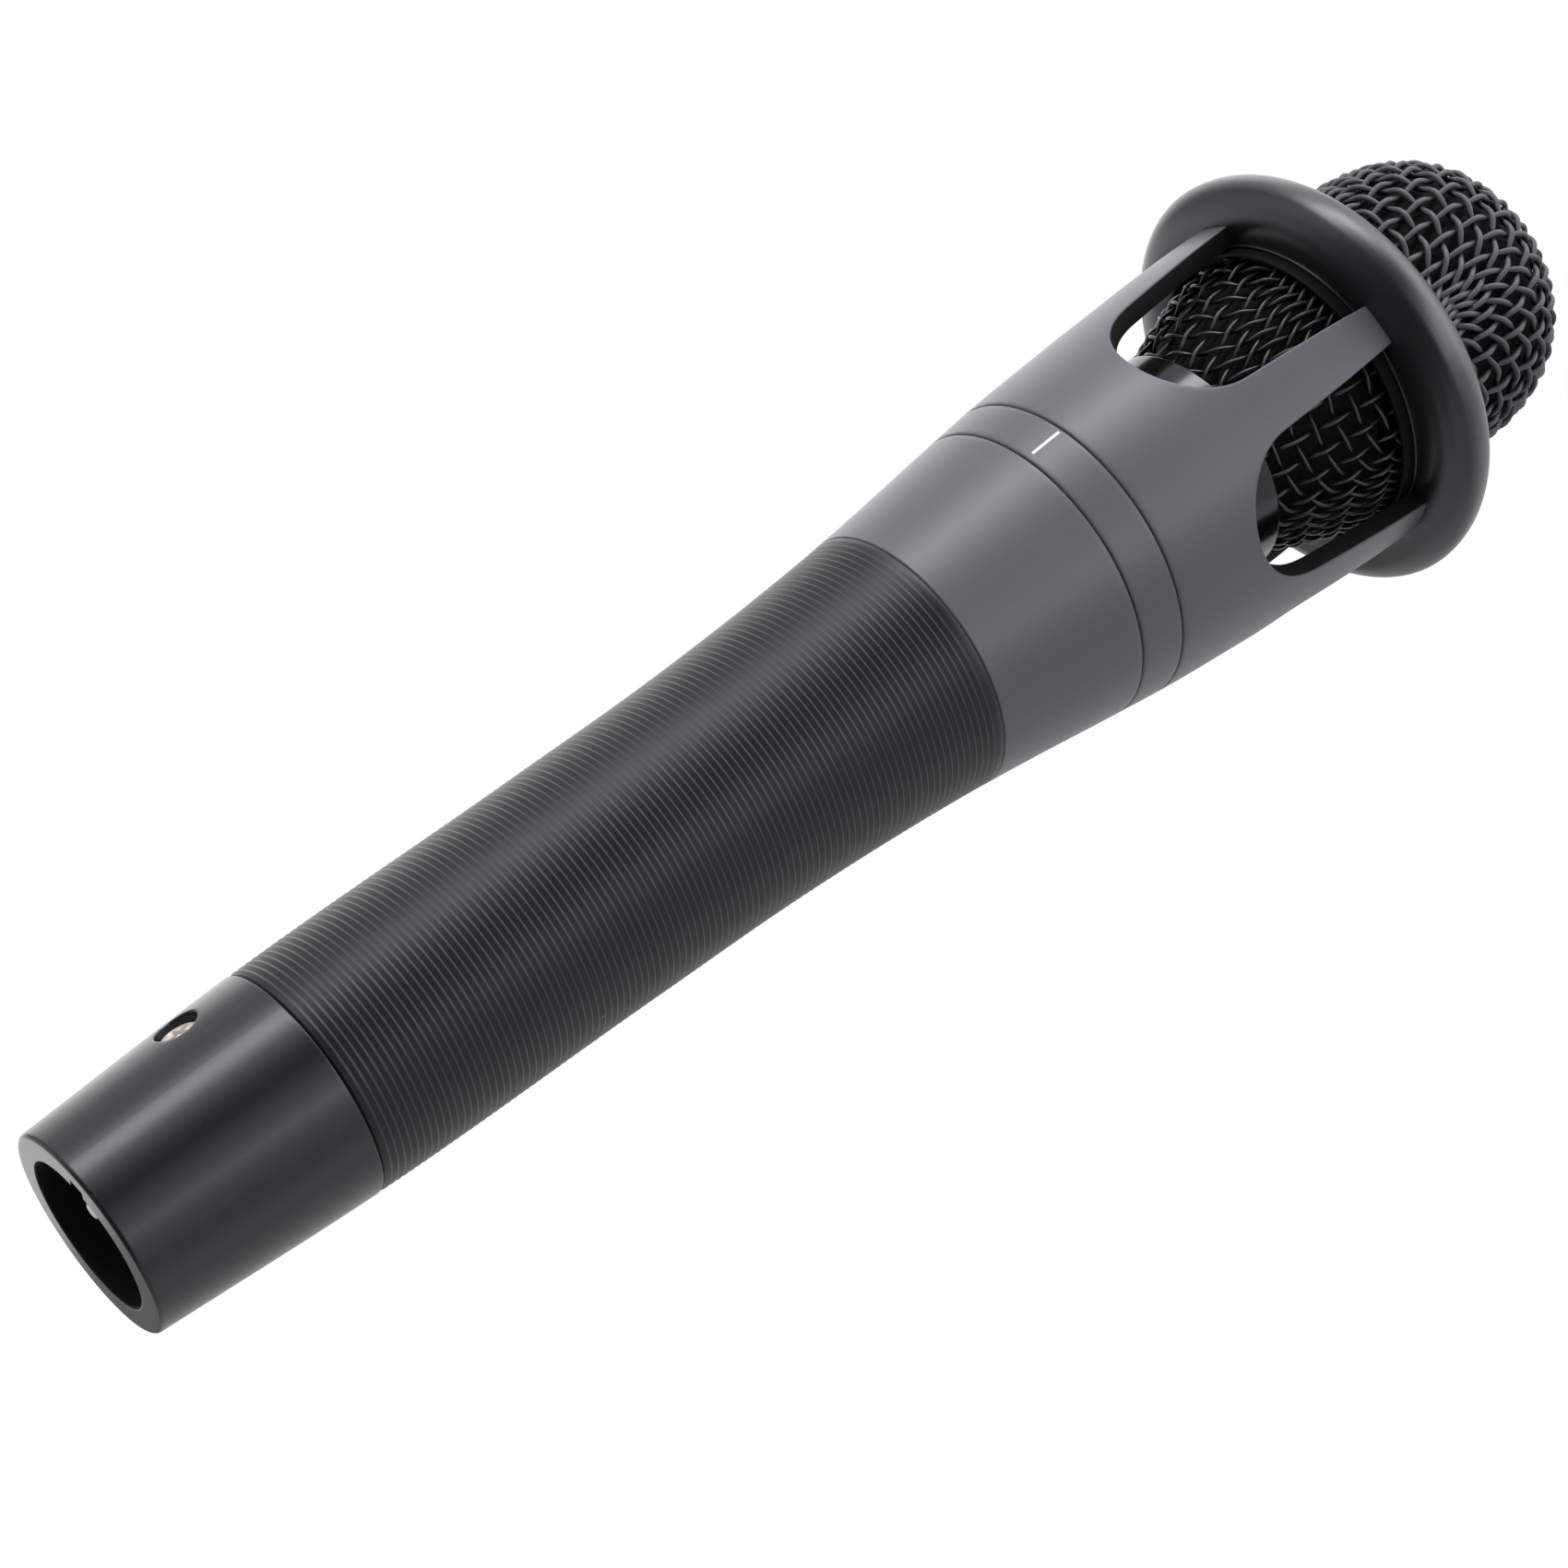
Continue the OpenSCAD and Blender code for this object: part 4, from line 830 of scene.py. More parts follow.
# %% Pins and lug
PIN_R, PIN_CIRCLE, PIN_TIP, TIP_ROUND, PIN_COLLAR = 1.2, 3.81, 3.4, 0.95, 1.4
SOLDER_TOP, SOLDER_BORE, SOLDER_FLOOR = 26.1, 0.8, INSERT_TOP + 0.4
pin_profile = [(0, PIN_TIP)]
pin_profile += arc((PIN_R - TIP_ROUND, PIN_TIP + TIP_ROUND), TIP_ROUND, TIP_ROUND, -90, 0, 8)
pin_profile += [
    (PIN_R, SOCKET_DEPTH), (PIN_COLLAR, SOCKET_DEPTH), (PIN_COLLAR, INSERT_TOP), (PIN_R, INSERT_TOP),
    (PIN_R, SOLDER_TOP), (SOLDER_BORE, SOLDER_TOP), (SOLDER_BORE, SOLDER_FLOOR), (0, SOLDER_FLOOR),
]
for number, azimuth in enumerate((KEY_AZ - 90, KEY_AZ + 90, KEY_AZ + 180), 1):
    pin = turned(pin_profile, 40, polar(azimuth, PIN_CIRCLE, 0.0)[:2])
    make_piece(f"pin_{number}", [pin], "contact_silver", "handle", [f"contact_pin_{number}"])
LUG_AZ, LUG_R, LUG_CENTRE, LUG_LOW, LUG_TOP, LUG_ROUND, LUG_BEVEL = -11.0, 0.88, 7.5, 0.03, 5.2, 0.25, 0.3
lug_profile = [(0, LUG_LOW)]
lug_profile += arc((LUG_R - LUG_ROUND, LUG_LOW + LUG_ROUND), LUG_ROUND, LUG_ROUND, -90, 0, 5)
lug_profile += [(LUG_R, LUG_TOP - LUG_BEVEL), (LUG_R - LUG_BEVEL, LUG_TOP), (0, LUG_TOP)]
lug = turned(lug_profile, 32, polar(LUG_AZ, LUG_CENTRE, 0.0)[:2])
make_piece("socket_lug", [lug], "screw_steel", "handle")

# %% [markdown]
# ## The grip
# A rubber sleeve with about a hundred fine ribs. A bump map would fake them, but the outline of the grip
# shows them too, so each rib is turned as geometry: a long flank that leans to the tail and mirrors the
# dark room, and a short flank that faces the head and mirrors the light above. So each rib draws one thin
# bright line.

# %% The ribbed sleeve
SLEEVE_T, RIB_PITCH, RIB_HEIGHT, STEP, SINK, END_GAP = 1.3, 0.8, 0.12, 0.42, 0.02, 0.02
rib_start, rib_end, top_edge, foot_edge = Z_TAIL + 0.3, Z_GRIP - 1.0, Z_GRIP - 0.04, Z_TAIL + END_GAP
ribs = int((rib_end - rib_start) / RIB_PITCH)
rib_part = np.array((0.0, 0.06, 0.3, 0.6, 0.66, 0.71, 0.76, 0.95))
rib_rise = np.array((0.0, 0.04, 0.42, 0.9, 0.98, 1.0, 0.9, 0.08))
rib_z = (rib_start + RIB_PITCH * (np.arange(ribs)[:, None] + rib_part[None, :])).ravel()
rib_r = outline(rib_z) - SINK - RIB_HEIGHT * (1 - np.tile(rib_rise, ribs))
plain_start = rib_z[-1] + 0.3
sleeve = list(zip(rib_r, rib_z))
sleeve += [(skin(plain_start, SINK), plain_start)]
sleeve += [(skin(top_edge, SINK), top_edge - 0.15), (skin(top_edge, SINK + 0.12), top_edge)]
sleeve += along(top_edge, foot_edge, 4.0, SLEEVE_T)
sleeve += [(skin(Z_TAIL, STEP + 0.1), foot_edge), (skin(Z_TAIL, STEP), Z_TAIL + 0.1)]
make_piece("ribbed_grip", [turned(sleeve, 160)], "grip_rubber", "handle", ["grip_sleeve"], sharp=60)

# %% [markdown]
# ## The body, its thread and the band
# The body is a turned tube. Above the grip its wall is bare and meets the band in a fine seam. Its spigot
# carries the thread that the head screws on to; that shows only when the head is unscrewed. A screw modifier
# could draw the thread. Here it is a wall whose radius follows a helix, so it joins the tube without a seam
# and fades out at both ends.

# %% The body
BORE, CAVITY, WELL, SPIGOT, SEAT = 10.0, 12.2, 13.4, 16.1, 16.8
SEAM_ROUND, SEAM_LIP, EDGE_LIP, WELL_BEVEL = 0.16, 0.04, 0.12, 0.2
THREAD_PITCH, THREAD_DEPTH, THREAD_ROWS, THREAD_FADE = 1.0, 0.45, 72, 0.9
Z_CAVITY, CAVITY_SLOPE = Z_GRIP + 7.4, 3.4
thread_root = SPIGOT - THREAD_DEPTH
body_profile = along(Z_TAIL, Z_GRIP, 4.0, SLEEVE_T + 0.02)
body_profile += [(skin(Z_GRIP, EDGE_LIP), Z_GRIP)] + along(Z_GRIP + EDGE_LIP, Z_NECK - SEAM_ROUND, 0.6)
body_profile += [
    (skin(Z_NECK, SEAM_LIP), Z_NECK - 0.06), (skin(Z_NECK, SEAM_ROUND), Z_NECK), (SEAT, Z_NECK),
    (SEAT, Z_BAND), (thread_root, Z_BAND),
]
bore_profile = [
    (thread_root, Z_SPIGOT), (WELL + WELL_BEVEL, Z_SPIGOT), (WELL, Z_SPIGOT - WELL_BEVEL), (WELL, Z_BAND),
    (CAVITY, Z_BAND), (CAVITY, Z_CAVITY), (BORE, Z_CAVITY - CAVITY_SLOPE), (BORE, Z_TAIL), body_profile[0],
]
turn = np.arange(SIDES) / SIDES
thread_z = np.linspace(Z_BAND, Z_SPIGOT, THREAD_ROWS)
phase = thread_z[:, None] / THREAD_PITCH - turn[None, :]
ridge = np.clip(0.5 + 0.8 * np.cos(2 * np.pi * phase), 0, 1)
fade = np.clip(np.minimum(thread_z - Z_BAND, Z_SPIGOT - thread_z) / THREAD_FADE, 0, 1)[:, None]
thread_rows = polar(turn[None, :] * 360, thread_root + THREAD_DEPTH * ridge * fade, thread_z[:, None])
body_sheets = [round_sheet(rows) for rows in (turned(body_profile)[0], thread_rows, turned(bore_profile)[0])]
make_piece("body_tube", body_sheets, "body_grey", "handle", ["handle_body"])

# %% The band and its tick
SEAM, BAND_GAP, LIP_RISE = 0.22, 0.02, 0.07
band_low = Z_NECK + SEAM
band_profile = [(SEAT + BAND_GAP, band_low), (skin(band_low, SEAM_ROUND), band_low)]
band_profile += [(skin(band_low, SEAM_LIP), band_low + LIP_RISE)]
band_profile += along(band_low + SEAM_ROUND, Z_BAND - SEAM_ROUND, 0.5)
band_profile += [(skin(Z_BAND, SEAM_LIP), Z_BAND - LIP_RISE), (skin(Z_BAND, SEAM_ROUND), Z_BAND)]
band_profile += [(SEAT + BAND_GAP, Z_BAND)]
make_piece("band", [turned(band_profile)], "body_grey", "handle", ["band_ring"])
TICK_AZ, TICK_LOW, TICK_HIGH, TICK_HALF, TICK_T, TICK_ROOT, BAND_R = -33.6, 124.1, 128.0, 0.17, 0.02, 0.1, 18
ink = Finish("tick_white", Roughness=0.5)
ink_grain = ink.noise(0.15, 2.0)
ink.wear(Base_Color=ink.mix(ink_grain, grey(0.7), grey(0.86)), Normal=ink.bump(ink_grain, 0.004))
tick_z = np.linspace(TICK_LOW, TICK_HIGH, 9)
tick_turn = TICK_AZ + np.degrees(np.linspace(-TICK_HALF, TICK_HALF, 5) / BAND_R)
tick_top = polar(tick_turn[None, :], outline(tick_z)[:, None] + TICK_T, tick_z[:, None])
tick_foot = polar(tick_turn[None, :], outline(tick_z)[:, None] - TICK_ROOT, tick_z[:, None])


def slab(top, foot):
    """A thin closed slab between two sheets."""
    rim = [(0, slice(None)), (slice(None), -1), (-1, slice(None, None, -1)), (slice(None, None, -1), 0)]
    edges = [np.vstack([sheet[k] for k in rim]) for sheet in (top, foot)]
    return [flat_sheet(top), flat_sheet(foot), round_sheet(edges)]


make_piece("band_tick", slab(tick_top, tick_foot), None, "handle", finish=ink.material)

# %% [markdown]
# ## The cage
# The cage is a cast skirt that opens into five struts. Each window is a round-ended opening whose side walls
# run inwards along the struts. Booleans could cut the windows, but their edges would stay sharp. Instead
# half a window and half a strut repeat ten times: rows run from the strut's middle line and the skirt to
# the window's edge, then bend over a small rounding into the wall.

# %% The window's edge
WINDOWS, WINDOW_Z, CAGE_T = 5, 148.9, 2.3
STRUT_FOOT, STRUT_TOP, STRUT_END = 7.0, 5.0, Z_RING_LOW + 2.0
SECTOR = 180 / WINDOWS


def window_half(r, strut):
    return r * math.sin(math.radians(SECTOR) - math.asin(strut / 2 / r))


WINDOW_R = window_half(skin(WINDOW_Z), STRUT_FOOT)
STRUT_R = 20.93
LEAN = math.atan((window_half(STRUT_R, STRUT_TOP) - WINDOW_R) / (Z_RING_LOW - WINDOW_Z))
strut_turns = [math.asin(w / 2 / r) for w, r in ((STRUT_FOOT, skin(WINDOW_Z)), (STRUT_TOP, STRUT_R))]
WALL_TURN = math.radians(SECTOR) - sum(strut_turns) / 2
ARC_STEPS, SIDE_STEPS = 28, 18
bend = np.linspace(-math.pi / 2, -LEAN, ARC_STEPS + 1)
edge_arc = np.column_stack((WINDOW_R * np.cos(bend), WINDOW_Z + WINDOW_R * np.sin(bend)))
arc_normal = np.column_stack((np.cos(bend), np.sin(bend)))
side_z = np.linspace(edge_arc[-1, 1], STRUT_END, SIDE_STEPS + 1)[1:]
edge_side = np.column_stack((edge_arc[-1, 0] + (side_z - edge_arc[-1, 1]) * math.tan(LEAN), side_z))
side_normal = np.tile((math.cos(LEAN), -math.sin(LEAN)), (SIDE_STEPS, 1))
EDGE = np.vstack((edge_arc, edge_side))
EDGE_NORMAL = np.vstack((arc_normal, side_normal))
EDGE_NORMAL[0] = (0, -1)
print("window half width", round(WINDOW_R, 2), "mm, lean", round(math.degrees(LEAN), 2), "degrees")

# %% One half sector of the cage
ACROSS, PATCH_BASE, WINDOW_ROUND = 14, Z_FLOOR + 0.6, 0.12


def edge_turn(flat, inwards):
    """Azimuth of the window's edge at a depth in the wall, along the side wall's direction."""
    r = outline(np.minimum(flat[:, 1], Z_RING))
    beside = r * np.sin(np.arcsin(flat[:, 0] / r) - WALL_TURN)
    return np.degrees(np.maximum(WALL_TURN + np.arcsin(beside / (r - inwards)), 0))


def rim_path(base):
    """From under the window along the base to the strut's middle line and up it: azimuths, heights."""
    corner = len(EDGE) - SIDE_STEPS - ARC_STEPS // 2 + 4
    climb = base + (STRUT_END - base) * np.linspace(0, 1, len(EDGE) - corner + 1)[1:] ** 0.9
    azimuth = np.concatenate((np.linspace(0, SECTOR, corner), np.full(len(climb), SECTOR)))
    return np.column_stack((azimuth, np.concatenate((np.full(corner, base), climb))))


def strut_sheet(base, inwards, offset):
    """The wall between the rim path and the window's edge, moved away from the opening by offset."""
    flat = EDGE + offset * EDGE_NORMAL
    near = np.column_stack((edge_turn(flat, inwards), flat[:, 1]))
    far = rim_path(base)
    t = np.linspace(0, 1, ACROSS + 1)[:, None, None]
    place = (1 - t) * far + t * near
    return place[..., 0], outline(np.minimum(place[..., 1], Z_RING)) - inwards, place[..., 1]


def edge_rows(inwards, sign):
    """Rows over the rounded edge, from the wall's face into the window's side."""
    rows = []
    for t in np.radians((30, 60, 90)):
        flat = EDGE + WINDOW_ROUND * (1 - math.sin(t)) * EDGE_NORMAL
        depth = inwards + sign * WINDOW_ROUND * (1 - math.cos(t))
        rows.append((edge_turn(flat, depth), outline(np.minimum(flat[:, 1], Z_RING)) - depth, flat[:, 1]))
    return rows


outer = strut_sheet(PATCH_BASE, 0.0, WINDOW_ROUND)
inner = strut_sheet(Z_FLOOR, CAGE_T, WINDOW_ROUND)
jamb = edge_rows(0.0, 1) + edge_rows(CAGE_T, -1)[::-1]
half = [np.vstack([outer[k], np.array([row[k] for row in jamb]), inner[k][::-1]]) for k in range(3)]
end = [np.array([part[: ACROSS + 1, -1], part[-ACROSS - 1 :, -1][::-1]]) for part in half]
cage_sheets = []
for number in range(WINDOWS):
    middle = (number + 0.5) * 2 * SECTOR
    for side in (-1, 1):
        for azimuth, r, z in (half, end):
            cage_sheets.append(flat_sheet(polar(middle + side * azimuth, r, z)))
print("cage sheets:", len(cage_sheets))

# %% The skirt below the windows
SKIRT_BORE, FLOOR_HOLE, FLOOR_UNDER = 16.97, 10.5, 135.51
SKIRT_BEVEL, MOUTH_BEVEL, HOLE_BEVEL = 0.6, 0.15, 0.2
base_path = rim_path(PATCH_BASE)
level_turn = base_path[:, 0][base_path[:, 1] <= PATCH_BASE]
sectors = [(k + 0.5) * 2 * SECTOR + s * level_turn for k in range(WINDOWS) for s in (-1, 1)]
skirt_turn = np.unique(np.round(np.concatenate(sectors) % 360, 6))
skirt_profile = [(skin(Z_FLOOR, CAGE_T), Z_FLOOR), (FLOOR_HOLE + HOLE_BEVEL, Z_FLOOR)]
skirt_profile += [(FLOOR_HOLE, Z_FLOOR - HOLE_BEVEL), (FLOOR_HOLE, FLOOR_UNDER)]
skirt_profile += [(SKIRT_BORE - SKIRT_BEVEL, FLOOR_UNDER), (SKIRT_BORE, FLOOR_UNDER - SKIRT_BEVEL)]
skirt_profile += [(SKIRT_BORE, Z_CAGE + MOUTH_BEVEL), (SKIRT_BORE + MOUTH_BEVEL, Z_CAGE)]
skirt_profile += [(skin(Z_CAGE, SEAM_ROUND), Z_CAGE), (skin(Z_CAGE, SEAM_LIP), Z_CAGE + LIP_RISE)]
skirt_profile = np.array(skirt_profile + along(Z_CAGE + SEAM_ROUND, PATCH_BASE, 0.6))
skirt_rows = polar(skirt_turn[None, :], skirt_profile[:, :1], skirt_profile[:, 1:])
make_piece("cage_frame", cage_sheets + [round_sheet(skirt_rows)], "body_grey", "head", ["cage"], sharp=40)

# %% [markdown]
# ## Ring, flange and collar
# The ring round the head is a fat moulding with a soft oval section. A torus would be too round: its upper
# half is taller than its lower half, so its section is drawn from arcs of different heights and turned. It
# hides the flange that grips the edges of both grilles. The collar on the cage's floor holds the foot of the
# lower grille; it is gloss black and mirrors the room in the windows.

# %% The ring
RING_MID, RING_OUT, RING_LOW, RING_HIGH, RING_BORE, CROWN, BEAD = 20.9, 4.46, 2.71, 4.57, 18.2, 1.2, 0.2
ring_profile = arc((RING_BORE + BEAD, Z_RING_LOW + 0.28), BEAD, BEAD, 180, 360, 10)
# A shallow groove runs between the bead at the bore and the oval: distance from the bore, height
GROOVE_STEPS = ((0.46, 0.42), (0.62, 0.3), (0.8, 0.2))
ring_profile += [(RING_BORE + r, Z_RING_LOW + z) for r, z in GROOVE_STEPS]
ring_profile += arc((RING_MID, Z_RING), RING_OUT, RING_LOW, -90, 0, 20)
ring_profile += arc((RING_MID, Z_RING), RING_OUT, RING_HIGH, 0, 90, 24)[1:]
ring_profile += arc((RING_MID, Z_RING + RING_HIGH - CROWN), RING_MID - RING_BORE, CROWN, 90, 180, 10)[1:]
ring_profile += [(RING_BORE, Z_RING_LOW + 0.5)]
make_piece("head_ring", [turned(ring_profile, 220)], "ring_black", "head", ["bumper_ring"], sharp=50)

# %% The flange
FLANGE_LOW, FLANGE_HIGH, GROOVE, ROOM, WEAVE_HALF = 163.76, 170.46, 2.0, 1.05, 0.85
DOME_R, BOWL_TOP, FLANGE_BORE, FLANGE_R = 17.53, 17.6, 14.6, RING_BORE - 0.02
bowl_mid, dome_mid = BOWL_TOP - WEAVE_HALF, DOME_R - WEAVE_HALF
low_groove, high_groove = FLANGE_LOW + GROOVE, FLANGE_HIGH - GROOVE
flange_profile = rounded(
    [
        (FLANGE_BORE, FLANGE_LOW, 0.4), (bowl_mid - ROOM, FLANGE_LOW, 0.15), (bowl_mid - ROOM, low_groove),
        (bowl_mid + ROOM, low_groove), (bowl_mid + ROOM, FLANGE_LOW, 0.05), (FLANGE_R, FLANGE_LOW, 0.05),
        (FLANGE_R, FLANGE_HIGH, 0.15), (dome_mid + ROOM, FLANGE_HIGH, 0.1), (dome_mid + ROOM, high_groove),
        (dome_mid - ROOM, high_groove), (dome_mid - ROOM, FLANGE_HIGH, 0.15), (FLANGE_BORE, FLANGE_HIGH, 0.4),
    ]
)
shade = Finish("flange_shade", Specular_IOR_Level=0.2)
shade_grain = shade.noise(0.3, 2.0)
shade.wear(Base_Color=shade.mix(shade_grain, grey(0.003), grey(0.005)), Roughness=0.5 + 0.2 * shade_grain)
flange = turned(flange_profile)
make_piece("grille_flange", [flange], "ring_black", "head", ["clamp_flange"], finish=shade.material)

# %% The collar
COLLAR_RIM, COLLAR_FOOT, COLLAR_TOP, COLLAR_WALL, COLLAR_FLARE = 13.5, 12.8, 148.81, 0.55, 10.9
CUP_FLOOR, COLLAR_SEAT, RIM_R = 146.21, Z_FLOOR + 0.02, COLLAR_WALL / 2
collar_profile = [(FLOOR_HOLE, COLLAR_SEAT), (COLLAR_FOOT, COLLAR_SEAT)]
for t in np.linspace(0, 1, 12):
    flare = (COLLAR_RIM - COLLAR_FOOT) * t**1.5
    collar_profile.append((COLLAR_FOOT + flare, Z_FLOOR + 0.1 + COLLAR_FLARE * t))
collar_profile += arc((COLLAR_RIM - RIM_R, COLLAR_TOP - RIM_R), RIM_R, RIM_R, 0, 180, 10)
collar_profile += [(COLLAR_RIM - COLLAR_WALL, CUP_FLOOR), (FLOOR_HOLE, CUP_FLOOR)]
make_piece("grille_collar", [turned(collar_profile)], "collar_black", "head", ["base_collar"])

# %% [markdown]
# ## The woven grilles
# Each grille is plain square weave pressed into shape. An array of straight wires bent by a modifier would
# stretch, and wire cloth can't stretch: when it is pressed its square cells lean into diamonds, while the
# distance between crossings stays the same. So a net of crossings is laid on the surface from its middle
# outwards, each crossing at the pitch of the cloth from the two before it. Then each wire runs through its
# crossings, over one and under the next.

# %% The surfaces that carry the weave
DOME_BASE, DOME_HIGH, DOME_POWER = 181.87, 17.48, 2.53
DOME_END, BOWL_START, BOWL_END, HIDDEN_END = 168.66, 147.81, 165.56, 30
weave_r, weave_high = DOME_R - 0.62, DOME_HIGH - 0.76


def dome_oval(r, high, angles):
    """The dome's section from its top to its widest place, fuller than an ellipse."""
    power = 2 / DOME_POWER
    return np.column_stack((r * np.sin(angles) ** power, DOME_BASE + high * np.cos(angles) ** power))


dome_round = dome_oval(weave_r, weave_high, np.linspace(0, math.pi / 2, 160))
dome_curve = np.vstack((dome_round, [(weave_r, DOME_END), (weave_r, DOME_END - HIDDEN_END)]))
t = np.linspace(0, 1, 60)
BOWL_FOOT, BOWL_BEND, CUP_DEPTH, CUP_CORNER, BOWL_HIDDEN = 11.6, math.radians(84), 2.2, 2.0, 25
bowl_swell = (BOWL_TOP - BOWL_FOOT) * np.sin(BOWL_BEND * t) / math.sin(BOWL_BEND)
bowl_wall = np.column_stack((BOWL_FOOT + bowl_swell - WEAVE_HALF, BOWL_START + (BOWL_END - BOWL_START) * t))
cup_low = BOWL_START - CUP_DEPTH
cup_centre = (bowl_wall[0, 0] - CUP_CORNER - 0.5, cup_low + CUP_CORNER)
cup_corner = arc(cup_centre, CUP_CORNER, CUP_CORNER, -90, 0, 12)
bowl_curve = np.vstack(([(0, cup_low)], cup_corner, bowl_wall, [(bowl_mid, BOWL_END + BOWL_HIDDEN)]))
print("dome and bowl curves:", len(dome_curve), len(bowl_curve), "points")


# %% A surface to lay cloth on
class Surface:
    """A surface of revolution, reached by the length along its curve and an azimuth."""

    def __init__(self, curve, outward):
        self.curve = curve
        self.run = np.concatenate(([0], np.cumsum(np.linalg.norm(np.diff(curve, axis=0), axis=1))))
        self.outward = outward

    def at(self, s):
        return np.interp(s, self.run, self.curve[:, 0]), np.interp(s, self.run, self.curve[:, 1])

    def length_at(self, z, r):
        """Length along the curve to the point nearest to (r, z)."""
        s = np.linspace(0, self.run[-1], 4000)
        rr, zz = self.at(s)
        return float(s[np.argmin((rr - r) ** 2 + (zz - z) ** 2)])

    def frame(self, s, azimuth):
        """Point and outward normal."""
        r, z = self.at(s)
        r0, z0 = self.at(s - 0.15)
        r1, z1 = self.at(s + 0.15)
        dr, dz = r1 - r0, z1 - z0
        size = np.hypot(dr, dz)
        dr, dz = dr / size, dz / size
        sin, cos = np.sin(azimuth), -np.cos(azimuth)
        point = np.stack((r * sin, r * cos, z), -1)
        normal = self.outward * np.stack((-dz * sin, -dz * cos, dr), -1)
        return point, normal


dome_surface, bowl_surface = Surface(dome_curve, 1.0), Surface(bowl_curve, -1.0)
print("lengths of the curves:", dome_surface.run[-1], bowl_surface.run[-1])

# %% A net of crossings
NUDGE, CLOSE_ENOUGH = 1e-4, 1e-3


def settle(rules, guess):
    """The place (s, turn) on a surface where two rules are met, by Newton's method."""
    place = np.array(guess, float)
    for _ in range(25):
        error = rules(place)
        slope = np.column_stack([(rules(place + d) - error) / NUDGE for d in NUDGE * np.eye(2)])
        place = place - np.linalg.lstsq(slope, error, rcond=1e-6)[0]
    return place if np.abs(rules(place)).max() < CLOSE_ENOUGH else np.full(2, np.nan)


def cloth_quarter(surface, pitch, offset, count):
    """A quarter of the crossings, laid one by one at the pitch from the two before them."""

    def spot(place):
        r, z = surface.at(place[0])
        return np.array((r * math.cos(place[1]), r * math.sin(place[1]), z))

    def beyond(place, before):
        """How much further than the pitch a place is from the one before."""
        return np.linalg.norm(spot(place) - before) - pitch

    net = np.full((count, count, 2), np.nan)
    start = offset * pitch
    net[0, 0] = (start * 2**0.5, math.pi / 4)
    for j in range(1, count):
        before = spot(net[0, j - 1])
        guess = (net[0, j - 1, 0] + pitch, math.pi / 2 - math.atan2(start, before[1] + pitch))
        net[0, j] = settle(lambda q: np.array((spot(q)[0] - start, beyond(q, before))), guess)
        net[j, 0] = (net[0, j, 0], math.pi / 2 - net[0, j, 1])
    for i in range(1, count):
        for j in range(1, count):
            left, under, corner = (spot(net[k]) for k in ((i - 1, j), (i, j - 1), (i - 1, j - 1)))
            far = left + under - corner
            far_s = net[i - 1, j, 0] + net[i, j - 1, 0] - net[i - 1, j - 1, 0]
            guess = (far_s, math.atan2(far[1], far[0]))
            if np.isfinite(guess).all():
                net[i, j] = settle(lambda q: np.array([beyond(q, k) for k in (left, under)]), guess)
    return net


def cloth_net(surface, pitch, turn, offset, count):
    """All crossings as (s, azimuth, used), the quarter mirrored four times round the pole."""
    quarter = cloth_quarter(surface, pitch, offset, count)
    index = np.arange(-count, count) if offset else np.arange(1 - count, count)
    pick = np.where(index < 0, -index - (1 if offset else 0), index)
    side = np.where(index < 0, -1.0, 1.0)
    s = quarter[pick][:, pick, 0]
    angle = quarter[pick][:, pick, 1]
    angle = np.arctan2(np.sin(angle) * side[None, :], np.cos(angle) * side[:, None])
    used = np.isfinite(s)
    return np.where(used, s, 0), np.where(used, angle, 0) + math.radians(turn), used


print("crossings are placed to", CLOSE_ENOUGH, "mm")

# %% The two nets
DOME_PITCH, BOWL_PITCH, DOME_TURN, BOWL_TURN = 2.7, 2.52, -35.0, 22.0
dome_end = dome_surface.length_at(DOME_END, weave_r)
bowl_start = bowl_surface.length_at(BOWL_START, bowl_wall[0, 0])
bowl_end = bowl_surface.length_at(BOWL_END, bowl_mid)
dome_net = cloth_net(dome_surface, DOME_PITCH, DOME_TURN, 0.5, int(dome_end / DOME_PITCH) + 3)
bowl_net = cloth_net(bowl_surface, BOWL_PITCH, BOWL_TURN, 0.0, int(bowl_end / BOWL_PITCH) + 3)


def side_error(surface, net, pitch):
    """How far the sides of the cells are from the pitch, as a mean share."""
    point = surface.frame(net[0], net[1])[0]
    size = np.linalg.norm(np.diff(point, axis=0), axis=-1)[net[2][1:] & net[2][:-1]]
    return float(np.abs(size / pitch - 1).mean())


print("error of the dome's cells:", side_error(dome_surface, dome_net, DOME_PITCH))
print("error of the bowl's cells:", side_error(bowl_surface, bowl_net, BOWL_PITCH))

# %% A smooth line and a wire along it
WIRE_STEPS, WIRE_SIDES = 6, 8


def smooth_through(values, steps):
    """A curve through the values with several steps between each pair."""
    padded = np.vstack((2 * values[:1] - values[1:2], values, 2 * values[-1:] - values[-2:-1]))
    t = np.linspace(0, 1, steps, endpoint=False)[:, None]
    parts = []
    for k in range(len(values) - 1):
        p0, p1, p2, p3 = padded[k : k + 4]
        slope, bend, twist = p2 - p0, 2 * p0 - 5 * p1 + 4 * p2 - p3, 3 * p1 - p0 - 3 * p2 + p3
        parts.append(0.5 * (2 * p1 + slope * t + bend * t**2 + twist * t**3))
    return np.vstack(parts + [values[-1:]])


